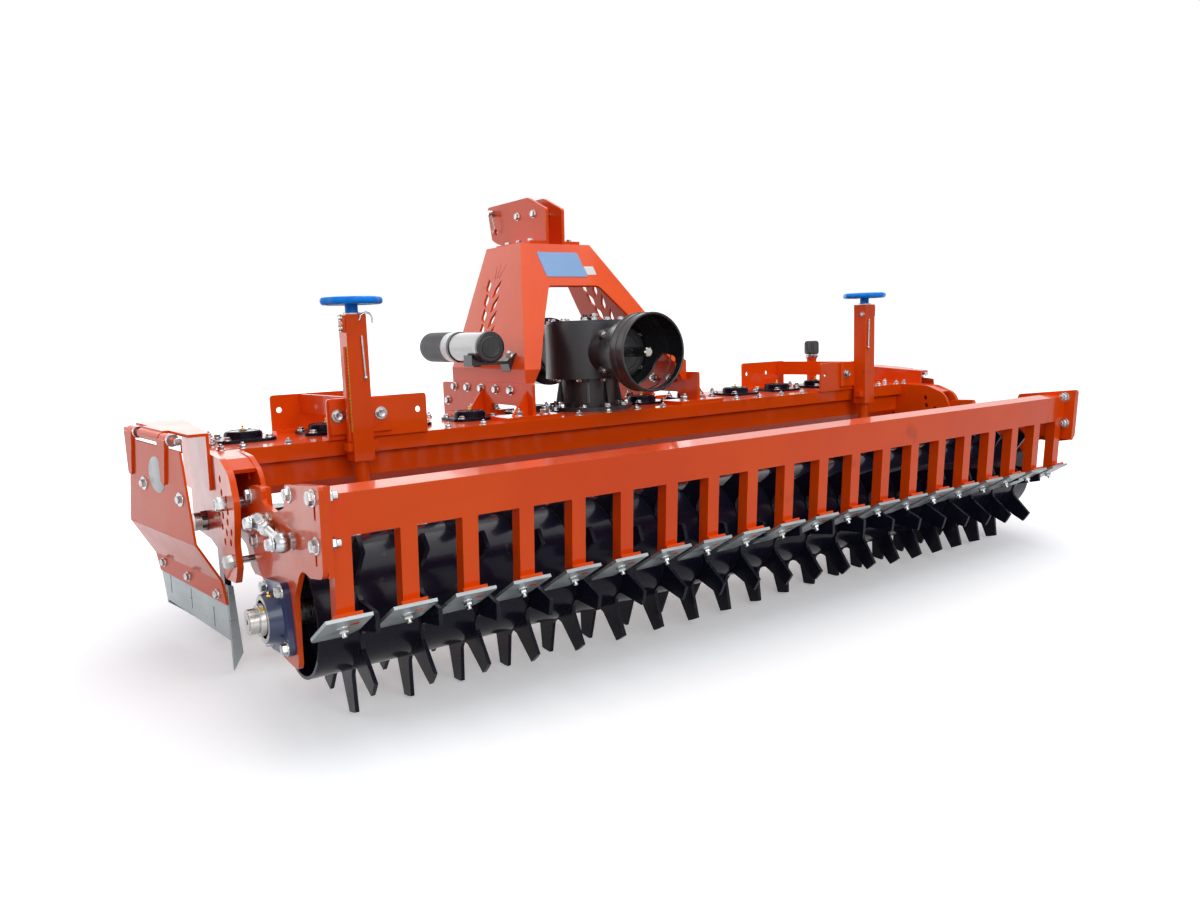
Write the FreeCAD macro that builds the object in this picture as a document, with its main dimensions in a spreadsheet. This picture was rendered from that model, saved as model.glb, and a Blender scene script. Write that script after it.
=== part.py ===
import FreeCAD, Part
import math
import os
import Sketcher

# Power harrow, 3 m working width: twelve vertical rotors under a closed gear
# trough, a toothed packer roller with its scraper beam on two arms behind it,
# a three-point headstock with an offset gearbox, and a side shield at each
# end.  Millimetres; X to the right, Y forwards, Z up, the floor at Z = 0.

doc = FreeCAD.newDocument("power_harrow")
sheet = doc.addObject("Spreadsheet::Sheet", "Dims")
sheet.Label = "Dimensions"
rowCount = [0]


class Size:
    """A length that carries both its number and the sheet expression for it."""

    def __init__(self, text, value):
        self.text = text
        self.value = float(value)

    def __add__(self, other):
        o = size(other)
        return Size("(%s + %s)" % (self.text, o.text), self.value + o.value)

    def __radd__(self, other):
        return size(other) + self

    def __sub__(self, other):
        o = size(other)
        return Size("(%s - %s)" % (self.text, o.text), self.value - o.value)

    def __rsub__(self, other):
        return size(other) - self

    def __mul__(self, other):
        o = size(other)
        return Size("(%s * %s)" % (self.text, o.text), self.value * o.value)

    def __rmul__(self, other):
        return size(other) * self

    def __truediv__(self, other):
        o = size(other)
        return Size("(%s / %s)" % (self.text, o.text), self.value / o.value)

    def __neg__(self):
        return Size("(0 - %s)" % self.text, -self.value)


def size(x):
    return x if isinstance(x, Size) else Size(repr(float(x)), x)


def cosOf(degrees):
    a = size(degrees)
    return Size("cos(%s * 1 deg)" % a.text, math.cos(math.radians(a.value)))


def sinOf(degrees):
    a = size(degrees)
    return Size("sin(%s * 1 deg)" % a.text, math.sin(math.radians(a.value)))


def dim(alias, value, note=""):
    """One driving dimension: a row of the sheet and the Size that reads it."""
    rowCount[0] += 1
    row = rowCount[0]
    sheet.set("A%d" % row, alias)
    sheet.set("B%d" % row, repr(float(value)))
    sheet.setAlias("B%d" % row, alias)
    if note:
        sheet.set("C%d" % row, note)
    return Size("Dims." + alias, value)


def corner(alias, u, v, radius=None):
    """A named corner of a plate, as offsets from the plate's datum."""
    return (dim(alias + "_u", u), dim(alias + "_v", v), radius)


# ---------------------------------------------------------------- dimensions
# machine
rotorPitch = dim("rotor_pitch", 250, "rotor spacing across the machine")
rotorY = dim("rotor_line_y", 161, "line of the rotor axes")
rotorEnd = dim("trough_end_margin", 135, "last rotor axis to the end of the trough")
troughHalf = rotorPitch * 5.5 + rotorEnd
troughTop = dim("trough_top_z", 586)
troughBottom = dim("trough_bottom_z", 444)
flangeHalf = dim("flange_half_width", 224, "cover flange, from the rotor line")
wallHalf = dim("wall_half_width", 198, "trough wall, from the rotor line")
flangeThick = dim("flange_thickness", 9)
noseDown = dim("nose_down", 3.2, "the trough and all on it lean forwards as parked")
lipDepth = dim("lip_depth", 46)
lipThick = dim("lip_thickness", 8)
bottomChamfer = dim("trough_bottom_chamfer", 26)
# rotor
bossRadius = dim("rotor_boss_radius", 66)
bossDepth = dim("rotor_boss_depth", 26)
rotorGap = dim("rotor_running_gap", 0.5)
rotorHubRadius = dim("rotor_hub_radius", 44)
rotorHubLength = dim("rotor_hub_length", 40)
carrierHalf = dim("tine_carrier_half_length", 112)
carrierWidth = dim("tine_carrier_width", 84)
carrierThick = dim("tine_carrier_thickness", 38)
tineReach = dim("tine_radius", 84, "tine from the rotor axis")
tineThick = dim("tine_thickness", 18)
tineTopWidth = dim("tine_top_width", 66)
tineTipWidth = dim("tine_tip_width", 30)
tineTrail = dim("tine_trail", 12)
# bearing caps on the cover
capPlate = dim("cap_plate_width", 166)
capPlateThick = dim("cap_plate_thickness", 9)
capPlateRound = dim("cap_plate_corner", 40)
capRadius = dim("cap_radius", 54)
capHeight = dim("cap_height", 26)
# side plates of the roller frame
sideInset = dim("side_plate_inset", 40, "inner face, from the end of the trough")
sideIn = troughHalf - sideInset
sideThick = dim("side_plate_thickness", 12)
plateBoreClear = dim("shaft_opening_clearance", 8)
# roller
rollerY = dim("roller_axis_y", -531)
rollerZ = dim("roller_axis_z", 262)
drumRadius = dim("drum_radius", 160)
drumWall = dim("drum_wall", 8)
drumGap = dim("drum_end_gap", 20)
drumHalf = sideIn - drumGap
drumDiscInset = dim("drum_disc_inset", 60)
drumDiscThick = dim("drum_disc_thickness", 14)
ringEnd = dim("ring_end_margin", 100)
ringPitch = (drumHalf - ringEnd) / 9
ringTip = dim("ring_tip_radius", 262)
ringThick = dim("ring_thickness", 10)
ringStep = dim("ring_phase_step", 4.4444)
valleyRoot = dim("valley_root_radius", 164, "just outside the drum")
valleyFloor = dim("valley_floor_width", 22)
valleyRise = dim("valley_corner_rise", 8)
valleyHalf = dim("valley_half_width", 76, "half gap at the tooth tips")
shaftRadius = dim("roller_shaft_radius", 30)
shaftPast = dim("roller_shaft_past_plate", 80)
shaftEnd = sideIn + sideThick + shaftPast
# arms
armThick = dim("arm_thickness", 12)
pivotY = dim("arm_pivot_y", 3)
pivotZ = dim("arm_pivot_z", 385)
pivotRadius = dim("arm_pin_radius", 20)
hubRadius = dim("arm_hub_radius", 38)
pinFit = dim("pin_clearance", 0.4)
# scraper beam
beamY = dim("beam_rear_y", -805)
beamDepth = dim("beam_depth", 80)
beamTop = dim("beam_top_z", 601)
beamHeight = dim("beam_height", 94)
beamFlangeThick = dim("beam_flange_thickness", 12)
postPitch = ringPitch
postWidth = dim("post_width", 40)
postDepth = dim("post_depth", 35)
footWidth = dim("scraper_foot_width", 62)
footThick = dim("scraper_foot_thickness", 8)
footLength = dim("scraper_foot_length", 96)
bladeWidth = dim("blade_width", 104)
bladeThick = dim("blade_thickness", 8)
bladeAngle = dim("blade_angle", 34)
# sector plates
sectorThick = dim("sector_outer_thickness", 16)
sectorInset = dim("sector_inner_inset", 69, "inner plate, from the end of the trough")
sectorInnerX = troughHalf - sectorInset
sectorInnerThick = dim("sector_inner_thickness", 12)
sectorHole = dim("sector_hole_radius", 10)
# headstock, centred on the driven rotor
headX = rotorPitch * -0.5
skirtHalf = dim("skirt_half_width", 358)
topHalf = dim("headstock_top_half_width", 157)
foldY = dim("fold_rear_y", 17)
foldZ = dim("fold_rear_z", 746)
foldFrontY = dim("fold_front_y", 567)
topRearY = dim("top_rear_y", 352)
topZ = dim("headstock_top_z", 1206)
topFrontY = dim("top_front_y", 615)
sheetThick = dim("headstock_sheet", 10)
skirtDrop = dim("skirt_drop", 70)
portalTopHalf = dim("portal_top_half_width", 100)
portalMidHalf = dim("portal_middle_half_width", 179)
portalLowHalf = dim("portal_low_half_width", 296)
portalTopZ = dim("portal_top_z", 1043)
portalMidZ = dim("portal_middle_z", 940)
# gearbox
boxRadius = dim("gearbox_radius", 158)
boxBottom = dim("gearbox_bottom_z", 702)
boxTop = dim("gearbox_top_z", 901)
boxCoverThick = dim("gearbox_cover_thickness", 10)
neckRadius = dim("gearbox_neck_radius", 109)
boxFlangeRadius = dim("gearbox_flange_radius", 162)
boxFlangeThick = dim("gearbox_flange_thickness", 14)
shaftZ = dim("pto_axis_z", 796)
ptoRadius = dim("pto_shaft_radius", 17.5)
ptoEnd = dim("pto_shaft_end_y", -208)
ptoFrontEnd = dim("pto_shaft_front_y", 440)
guardRadius = dim("guard_radius", 133)
guardWall = dim("guard_wall", 5)
guardRimY = dim("guard_rim_y", -232)
guardRootRadius = dim("guard_root_radius", 92)
# levelling bar and spindles
spindleInset = dim("spindle_inset", 391, "from the end of the trough")
spindleX = troughHalf - spindleInset
spindleY = dim("spindle_y", -113)
postTube = dim("spindle_post_width", 60)
postTop = dim("spindle_post_top_z", 943)
postFoot = dim("spindle_post_foot_z", 526)
stemRadius = dim("spindle_stem_radius", 21)
barInset = dim("levelling_bar_inset", 86)
barHalf = troughHalf - barInset
barBottom = dim("levelling_bar_bottom_z", 70)
barHeight = dim("levelling_bar_height", 150)
barThick = dim("levelling_bar_thickness", 12)
wheelRadius = dim("handwheel_radius", 88)
wheelZ = dim("handwheel_z", 981)
# shields
hingeOut = dim("shield_hinge_outset", 75, "rear end of the hinge axis, from the sector plate")
hingeX = troughHalf + sectorThick + hingeOut
hingeY = dim("shield_hinge_y", -71)
hingeZ = dim("shield_hinge_z", 625)
toeAngle = dim("shield_toe_angle", 13)
shieldLength = dim("shield_length", 332)
shieldThick = dim("shield_thickness", 6)
sleeveRadius = dim("hinge_sleeve_radius", 15)
rodRadius = dim("hinge_rod_radius", 7)
sleeveLength = dim("hinge_sleeve_length", 46)

# ------------------------------------------------------------------- helpers
made = []
count = [0]


def add(kind, name):
    count[0] += 1
    obj = doc.addObject(kind, "%s_%03d" % (name, count[0]))
    obj.Label = "%s_%03d" % (name, count[0])
    made.append(obj)
    return obj


def bind(obj, prop, value):
    obj.setExpression(prop, size(value).text)


def place(obj, x=0, y=0, z=0, axis=None, angle=None):
    """Position from sizes; a turn about a fixed axis by a sized angle."""
    turn = FreeCAD.Rotation()
    if axis is not None:
        turn = FreeCAD.Rotation(FreeCAD.Vector(*axis), size(angle).value)
    at = FreeCAD.Vector(size(x).value, size(y).value, size(z).value)
    obj.Placement = FreeCAD.Placement(at, turn)
    for key, v in (("x", x), ("y", y), ("z", z)):
        if isinstance(v, Size):
            obj.setExpression("Placement.Base." + key, v.text)
    if isinstance(angle, Size):
        obj.setExpression("Placement.Rotation.Angle", angle.text)
    return obj


def box(name, x0, x1, y0, y1, z0, z1):
    b = add("Part::Box", name)
    bind(b, "Length", size(x1) - x0)
    bind(b, "Width", size(y1) - y0)
    bind(b, "Height", size(z1) - z0)
    return place(b, size(x0), size(y0), size(z0))


axisTurn = {"x": ((0, 1, 0), 90), "y": ((1, 0, 0), -90), "z": (None, None)}


def rod(name, along, x, y, z, radius, length):
    """Cylinder from a start point along the positive axis."""
    c = add("Part::Cylinder", name)
    bind(c, "Radius", radius)
    bind(c, "Height", length)
    axis, angle = axisTurn[along]
    return place(c, size(x), size(y), size(z), axis, angle)


def cone(name, along, x, y, z, r0, r1, length):
    c = add("Part::Cone", name)
    bind(c, "Radius1", r0)
    bind(c, "Radius2", r1)
    bind(c, "Height", length)
    axis, angle = axisTurn[along]
    return place(c, size(x), size(y), size(z), axis, angle)


def group(kind, prop, name, items):
    g = add(kind, name)
    setattr(g, prop, list(items))
    return g


def fuse(name, *items):
    return group("Part::MultiFuse", "Shapes", name, items)


def together(name, *items):
    return group("Part::Compound", "Links", name, items)


def cut(name, base, *tools):
    c = add("Part::Cut", name)
    c.Base = base
    c.Tool = tools[0] if len(tools) == 1 else fuse(name + "_tools", *tools)
    return c


def mirror(name, item):
    m = add("Part::Mirroring", name)
    m.Source = item
    m.Normal = FreeCAD.Vector(1, 0, 0)
    return m


def copyAt(name, item, x=0, y=0, z=0, axis=None, angle=None):
    """A further instance of a piece, placed from the sheet."""
    return place(together(name, item), x, y, z, axis, angle)


sketchTurn = {
    "x": FreeCAD.Rotation(FreeCAD.Vector(1, 1, 1), 120),
    "y": FreeCAD.Rotation(FreeCAD.Vector(1, 0, 0), 90),
    "z": FreeCAD.Rotation(),
}


def derived(alias, value):
    """A formula row of the sheet, so that long expressions stay short."""
    rowCount[0] += 1
    row = rowCount[0]
    sheet.set("A%d" % row, alias)
    sheet.set("B%d" % row, "=" + value.text.replace("Dims.", ""))
    sheet.setAlias("B%d" % row, alias)
    return Size("Dims." + alias, value.value)


def rootOf(v):
    return Size("sqrt(%s)" % v.text, math.sqrt(v.value))


def outline(name, points, holes=(), datum=(0, 0)):
    """Closed sketch through named corners, each with an optional radius."""
    s = add("Sketcher::SketchObject", name)
    stem = s.Name.lower()
    flat = []
    for p in points:
        u, v = size(p[0]) + datum[0], size(p[1]) + datum[1]
        flat.append((u, v, p[2] if len(p) > 2 else None))
    n = len(flat)
    ends = []
    for i in range(n):
        u, v, r = flat[i]
        if r is None:
            ends.append(((u, v), (u, v), None))
            continue
        # the arc starts and ends where circle and sides touch: a run along
        # each side of r * sqrt((1 + c) / (1 - c)), c the cosine between them
        au, av = flat[i - 1][0] - u, flat[i - 1][1] - v
        bu, bv = flat[(i + 1) % n][0] - u, flat[(i + 1) % n][1] - v
        la = derived("%s_back_%d" % (stem, i), rootOf(au * au + av * av))
        lb = derived("%s_on_%d" % (stem, i), rootOf(bu * bu + bv * bv))
        c = derived("%s_turn_%d" % (stem, i), (au * bu + av * bv) / (la * lb))
        run = derived("%s_run_%d" % (stem, i), size(r) * rootOf((1 + c) / (1 - c)))
        t0 = (u + au / la * run, v + av / la * run)
        t1 = (u + bu / lb * run, v + bv / lb * run)
        p = FreeCAD.Vector(u.value, v.value, 0)
        a = FreeCAD.Vector(au.value, av.value, 0).normalize()
        b = FreeCAD.Vector(bu.value, bv.value, 0).normalize()
        away = size(r).value / math.sqrt((1 - c.value) / 2)
        mid = (a + b).normalize()
        ends.append((t0, t1, p + mid * away))

    def vec(t):
        return FreeCAD.Vector(t[0].value, t[1].value, 0)

    def pin(geo, point, spot):
        for which, value in (("X", spot[0]), ("Y", spot[1])):
            k = s.addConstraint(Sketcher.Constraint("Distance" + which, -1, 1, geo, point,
                                                    value.value))
            s.setExpression("Constraints[%d]" % k, value.text)

    lines = []
    for i in range(n):
        j = (i + 1) % n
        lines.append(s.addGeometry(Part.LineSegment(vec(ends[i][1]), vec(ends[j][0])), False))
    for i in range(n):
        prev, nxt = lines[i - 1], lines[i]
        t0, t1, centre = ends[i]
        if centre is None:
            s.addConstraint(Sketcher.Constraint("Coincident", prev, 2, nxt, 1))
            pin(nxt, 1, t0)
            continue
        from0, from1 = vec(t0) - centre, vec(t1) - centre
        a0, a1 = math.atan2(from0.y, from0.x), math.atan2(from1.y, from1.x)
        swap = (a1 - a0) % (2 * math.pi) > math.pi
        circle = Part.Circle(centre, FreeCAD.Vector(0, 0, 1), size(flat[i][2]).value)
        arc = Part.ArcOfCircle(circle, a1, a0) if swap else Part.ArcOfCircle(circle, a0, a1)
        g = s.addGeometry(arc, False)
        first, last = (2, 1) if swap else (1, 2)
        s.addConstraint(Sketcher.Constraint("Coincident", prev, 2, g, first))
        s.addConstraint(Sketcher.Constraint("Coincident", g, last, nxt, 1))
        pin(prev, 2, t0)
        pin(nxt, 1, t1)
        k = s.addConstraint(Sketcher.Constraint("Radius", g, size(flat[i][2]).value))
        if isinstance(flat[i][2], Size):
            s.setExpression("Constraints[%d]" % k, flat[i][2].text)
    for h in holes:
        u, v, r = size(h[0]) + datum[0], size(h[1]) + datum[1], size(h[2])
        g = s.addGeometry(Part.Circle(vec((u, v)), FreeCAD.Vector(0, 0, 1), r.value), False)
        pin(g, 3, (u, v))
        k = s.addConstraint(Sketcher.Constraint("Radius", g, r.value))
        s.setExpression("Constraints[%d]" % k, r.text)
    return s


def prism(name, along, points, a, b, holes=(), datum=(0, 0)):
    """Plate or bar with the given outline, from a to b along an axis."""
    s = outline(name + "_outline", points, holes, datum)
    a, b = size(a), size(b)
    start = b if along == "y" else a
    at = {"x": (start.value, 0, 0), "y": (0, start.value, 0), "z": (0, 0, start.value)}
    s.Placement = FreeCAD.Placement(FreeCAD.Vector(*at[along]), sketchTurn[along])
    s.setExpression("Placement.Base." + along, start.text)
    e = add("Part::Extrusion", name)
    e.Base = s
    e.DirMode = "Normal"
    e.Solid = True
    bind(e, "LengthFwd", b - a)
    return e


nodes = []


def node(name, item):
    """Names a finished piece; its label is its file name."""
    item.Label = name
    nodes.append(item)
    return item


def leaned(name, item):
    """Leans an item nose down about the rear top edge of the gear trough."""
    edgeY = rotorY - flangeHalf
    leanCos, leanSin = cosOf(noseDown), sinOf(noseDown)
    y = derived(name + "_lean_y", edgeY - edgeY * leanCos - troughTop * leanSin)
    z = derived(name + "_lean_z", troughTop - troughTop * leanCos + edgeY * leanSin)
    return place(together(name + "_leaned", item), 0, y, z, (1, 0, 0), -noseDown)


def carried(name, item):
    """A finished piece that leans with the trough."""
    return node(name, leaned(name, item))


def pair(stem, right):
    """A right-hand piece and its mirror image on the left, as one item."""
    node(stem, together(stem + "_set", right, mirror(stem + "_left", right)))


def twoSides(stem, right):
    """The same for pieces that move apart from one another: two items."""
    node(stem + "_right", right)
    node(stem + "_left", mirror(stem + "_left_mirror", right))


def centred(name, item):
    """Mirror image about the plane of the headstock."""
    m = add("Part::Mirroring", name)
    m.Source = item
    m.Normal = FreeCAD.Vector(1, 0, 0)
    bind(m, "Base.x", headX)
    return m


# -------------------------------------------------------------- gear trough
edge = troughTop - lipDepth
under = troughTop - flangeThick
half = [
    (flangeHalf, troughTop), (flangeHalf, edge), (flangeHalf - lipThick, edge),
    (flangeHalf - lipThick, under), (wallHalf, under),
    (wallHalf, troughBottom + bottomChamfer), (wallHalf - bottomChamfer, troughBottom),
]
section = [(-u, v) for u, v in half] + [(u, v) for u, v in reversed(half)]
troughShell = prism("trough", "x", section, -troughHalf, troughHalf, datum=(rotorY, 0))
rotorX = [rotorPitch * (i - 5.5) for i in range(12)]
bosses = [rod("boss", "z", x, rotorY, troughBottom - bossDepth, bossRadius, bossDepth)
          for x in rotorX]
trough = carried("gear_trough", fuse("gear_trough_solid", troughShell, *bosses))

# bearing caps: one over each rotor but the driven one
cp = capPlate / 2
capFlat = prism("cap_plate", "z", [(-cp, -cp, capPlateRound), (cp, -cp, capPlateRound),
                                   (cp, cp, capPlateRound), (-cp, cp, capPlateRound)],
                troughTop, troughTop + capPlateThick)
capDisc = rod("cap_disc", "z", 0, 0, troughTop, capRadius, capHeight)
capMaster = fuse("cap_master", capFlat, capDisc)
caps = [copyAt("cap", capMaster, x, rotorY) for i, x in enumerate(rotorX) if i != 5]
carried("bearing_caps", together("bearing_caps_set", *caps))

fillerInset = dim("filler_inset", 273)
fillerX = troughHalf - fillerInset
fillerY = dim("filler_y", 284)
fillerNeckRadius = dim("filler_neck_radius", 28)
fillerNeckTop = dim("filler_neck_top_z", 712)
fillerCapRadius = dim("filler_cap_radius", 33)
fillerCapTop = dim("filler_cap_top_z", 790)
carried("oil_filler", fuse(
    "oil_filler_solid",
    rod("filler_neck", "z", fillerX, fillerY, troughTop, fillerNeckRadius,
        fillerNeckTop - troughTop),
    rod("filler_cap", "z", fillerX, fillerY, fillerNeckTop, fillerCapRadius,
        fillerCapTop - fillerNeckTop)))

# ------------------------------------------------------------------- rotors
hubTop = troughBottom - bossDepth - rotorGap
# the foremost tine tips just reach the floor under the leaning trough
sweep = rootOf((tineReach + tineThick / 2) * (tineReach + tineThick / 2)
               + (tineTipWidth / 2 + tineTrail) * (tineTipWidth / 2 + tineTrail))
tipZ = derived("tine_tip_z", troughTop - (troughTop - (flangeHalf + sweep) * sinOf(noseDown))
               / cosOf(noseDown))
carrierTop = hubTop - rotorHubLength
carrierBottom = carrierTop - carrierThick
carrierRound = carrierWidth / 2 - 2
for i, x in enumerate(rotorX):
    hub = rod("rotor_hub", "z", 0, 0, carrierTop, rotorHubRadius, rotorHubLength)
    ch, cw = carrierHalf, carrierWidth / 2
    bar = prism("carrier", "z", [(-ch, -cw, carrierRound), (ch, -cw, carrierRound),
                                 (ch, cw, carrierRound), (-ch, cw, carrierRound)],
                carrierBottom, carrierTop)
    tt, tw = tineThick / 2, tineTopWidth / 2
    blades = []
    for side in (1, -1):
        pts = [(-side * tw, carrierBottom), (side * tw, carrierBottom),
               (side * (tw - tineTrail), carrierBottom / 3),
               (side * (tineTipWidth / 2 - tineTrail), tipZ),
               (-side * (tineTipWidth / 2 + tineTrail), tipZ)]
        if side < 0:
            pts = list(reversed(pts))
        blades.append(prism("tine", "x", pts, side * tineReach - tt, side * tineReach + tt))
    rotor = fuse("rotor_solid", hub, bar, *blades)
    turned = copyAt("rotor", rotor, x, rotorY, 0, (0, 0, 1), 0 if i % 2 == 0 else 90)
    carried("rotor_%02d" % (i + 1), turned)

# ----------------------------------------------------------- sector plates
def corners(stem, rows):
    """Named corners: label, offset along, offset up, optional radius."""
    return [corner(stem + "_" + r[0], r[1], r[2], r[3] if len(r) > 3 else None) for r in rows]


pivot = (pivotY, pivotZ)
sectorRear = corners("sector", [
    ("crown", -205, 205, 60), ("shoulder", -290, 178, 60), ("brow", -325, 112, 40),
    ("waist", -319, 58, 30), ("hip", -301, -2, 30), ("heel", -314, -58), ("toe", -286, -104),
    ("sole", -187, -119), ("instep", -142, -104, 30), ("arch", -128, -56, 40),
    ("belly", -40, -44)])
sectorHoleSpots = corners("sector_hole", [
    ("a", -196, 151), ("b", -204, 117), ("c", -248, 108), ("d", -202, 56),
    ("e", -256, 77), ("f", -187, 24), ("g", -247, 48), ("h", -230, 17),
    ("i", -280, 28), ("j", -206, -13), ("k", -268, -2), ("l", -159, 54)])
stopRadius = dim("stop_pin_radius", 9)
stopHead = dim("stop_pin_head_radius", 15)
stopSpots = corners("stop_pin", [("upper", -227, 92), ("lower", -280, -47)])
stopHoles = [(p[0], p[1], stopRadius) for p in stopSpots]
holes = [(p[0], p[1], sectorHole) for p in sectorHoleSpots]
frontY = dim("sector_front", 178, "front end of the outer plate, from the pivot")
sectorOuter = prism(
    "sector_outer", "x",
    sectorRear + [(frontY, -58), (frontY, 201), (-60, 201)],
    troughHalf, troughHalf + sectorThick, holes + stopHoles, pivot)
innerTop = troughTop - pivotZ
innerFront = dim("sector_inner_front", 38, "inner plate, clear of the end rotor's sweep")
rear = rotorY - flangeHalf - pivotY
wall = rotorY - wallHalf - pivotY
sectorInner = prism(
    "sector_inner", "x",
    sectorRear + [(innerFront, -50), (innerFront, troughBottom - pivotZ),
                  (wall, troughBottom - pivotZ), (wall, edge - pivotZ), (rear, edge - pivotZ),
                  (rear, innerTop)],
    sectorInnerX, sectorInnerX + sectorInnerThick, holes[:4] + stopHoles, pivot)
bridge = prism(
    "sector_bridge", "x",
    [(rear, innerTop), (-200, innerTop), (-268, 184), (-262, 173), (-198, innerTop - 12),
     (rear, innerTop - 12)],
    sectorInnerX + sectorInnerThick, troughHalf, (), pivot)
boreThrough = rod("pin_bore", "x", sectorInnerX - 29, pivotY, pivotZ, pivotRadius, 200)
sector = cut("sector_plates", fuse("sector_all", sectorOuter,
                                    cut("sector_inner_fit", sectorInner, trough),
                                    cut("sector_bridge_fit", bridge, trough)), boreThrough)
pair("sector_plates", sector)

collarRadius = dim("pin_collar_radius", 25)
collarLength = dim("pin_collar_length", 34)
pinIn = sectorInnerX
pinOut = troughHalf + sectorThick
armPin = fuse("arm_pin_solid",
              rod("arm_pin_bar", "x", pinIn, pivotY, pivotZ, pivotRadius, pinOut - pinIn),
              rod("arm_pin_collar", "x", pinOut, pivotY, pivotZ, collarRadius, collarLength))
pair("arm_pivot_pins", armPin)

stops = []
for p in stopSpots:
    y, z = p[0] + pivotY, p[1] + pivotZ
    stops.append(fuse("stop", rod("stop_bar", "x", pinIn - 24, y, z, stopRadius,
                                  pinOut - pinIn + 24),
                      rod("stop_head", "x", pinOut, y, z, stopHead, 22)))
pair("stop_pins", together("stop_pins_set", *stops))

# ------------------------------------------------------------ roller frame
axisAt = (rollerY, rollerZ)
armOut = sideIn
armIn = sideIn - armThick
lobe = corners("lobe", [
    ("front_low", -213, -62), ("front_mid", -218, 50, 30), ("front_high", -273, 60, 20),
    ("front_top", -273, 138, 12), ("crest", -338, 153, 30), ("rear_top", -415, 161, 12),
    ("rear_low", -421, 108)])
side = corners("side", [
    ("nose", 251, 263, 10), ("crest", 196, 278, 20), ("lobe_top", 119, 285, 10),
    ("notch_front", 113, 248, 12), ("notch_rear", 14, 246, 16), ("shoulder", -62, 272),
    ("peak", -79, 329, 10), ("corner", -314, 368, 10), ("tail", -314, 172, 26),
    ("under", -228, 152), ("waist_top", -164, 158, 60), ("waist", -104, 72, 60),
    ("ankle", -104, -104, 24), ("foot", 92, -112, 24), ("shin", 104, 20, 40),
    ("knee", 179, 61, 20), ("jaw", 216, 88), ("chin", 258, 152, 10)])
sideBore = shaftRadius + plateBoreClear
sideFlat = prism("side_plate", "x", side, sideIn, sideIn + sideThick,
                 [(0, 0, sideBore)], axisAt)
slotHalf = dim("slot_half_height", 17)
slotRadius = dim("slot_half_width", 6)
slots = []
for spot in corners("side_slot", [("upper", -282, 307), ("lower", -276, 207)]):
    u, v = spot[0], spot[1]
    slots.append(prism("side_slot", "x",
                       [(u - slotRadius, v - slotHalf, 5), (u + slotRadius, v - slotHalf, 5),
                        (u + slotRadius, v + slotHalf, 5), (u - slotRadius, v + slotHalf, 5)],
                       sideIn - 1, sideIn + sideThick + 1, (), axisAt))
sidePlate = cut("side_plate_slotted", sideFlat, *slots)
# the upper edge of the arm rests against the upper stop pin
armRest = corner("arm_rest", -130, 59)
armNotch = corner("arm_notch", -262, 91)
arm = prism("arm_plate", "x",
            [(0, hubRadius - 2), (armRest[0], armRest[1]), (armNotch[0], armNotch[1]),
             (-273, 138), (-338, 153), (-415, 161),
             (-424, 90), (-360, -10), (-273, -14), (0, 2 - hubRadius)],
            armIn, armOut, (), pivot)
hubLength = dim("arm_hub_length", 44)
armHub = rod("arm_hub", "x", armIn, pivotY, pivotZ, hubRadius, hubLength)
armBore = rod("arm_bore", "x", armIn - 5, pivotY, pivotZ, pivotRadius + pinFit, hubLength + 10)
sideFrame = cut("side_frame", fuse("side_frame_all", sidePlate, arm, armHub), armBore)
pair("roller_side_frames", sideFrame)

beamFront = beamY + beamDepth
beamLow = beamTop - beamHeight
flangeIn = sideIn - beamFlangeThick
beam = box("beam", -flangeIn, flangeIn, beamY, beamFront, beamLow, beamTop)
beamFlange = prism("beam_flange", "x",
                   [(-314, 172), (-314, 366), (-120, 336), (-120, 172)],
                   flangeIn, sideIn, (), axisAt)
bladeY = dim("blade_rear_y", -826)
bladeZ = dim("blade_rear_z", 338)
bladeFall = sinOf(bladeAngle) / cosOf(bladeAngle)
postRear = derived("post_rear_z", bladeZ + 5 - (beamY - bladeY) * bladeFall)
postFront = derived("post_front_z", postRear - postDepth * bladeFall)
posts = []
feet = []
bladesAll = []
footIn = dim("foot_inset", 16)
for i in range(20):
    x = postPitch * (i - 9.5)
    posts.append(prism("post", "x",
                       [(beamY, postRear), (beamY + postDepth, postFront),
                        (beamY + postDepth, beamLow), (beamY, beamLow)],
                       x - postWidth / 2, x + postWidth / 2))
footPlate = box("foot_plate", -footWidth / 2, footWidth / 2, 0, footLength - footIn, 0, footThick)
bladeFlat = prism("blade_plate", "z",
                  [(-bladeWidth / 2, 0), (bladeWidth / 2, 0),
                   (bladeWidth / 2, 110), (bladeWidth / 2 - 22, 148), (8 - bladeWidth / 2, 148),
                   (-bladeWidth / 2, 132)],
                  -bladeThick, 0)
for i in range(20):
    x = postPitch * (i - 9.5)
    feet.append(copyAt("foot", footPlate, x, bladeY, bladeZ, (1, 0, 0), -bladeAngle))
    bladesAll.append(copyAt("blade", bladeFlat, x, bladeY, bladeZ, (1, 0, 0), -bladeAngle))
scraper = fuse("scraper_beam_solid", beam, beamFlange, mirror("beam_flange_left", beamFlange),
               *(posts + feet))
node("scraper_beam", scraper)
node("scraper_blades", together("scraper_blades_set", *bladesAll))

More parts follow.
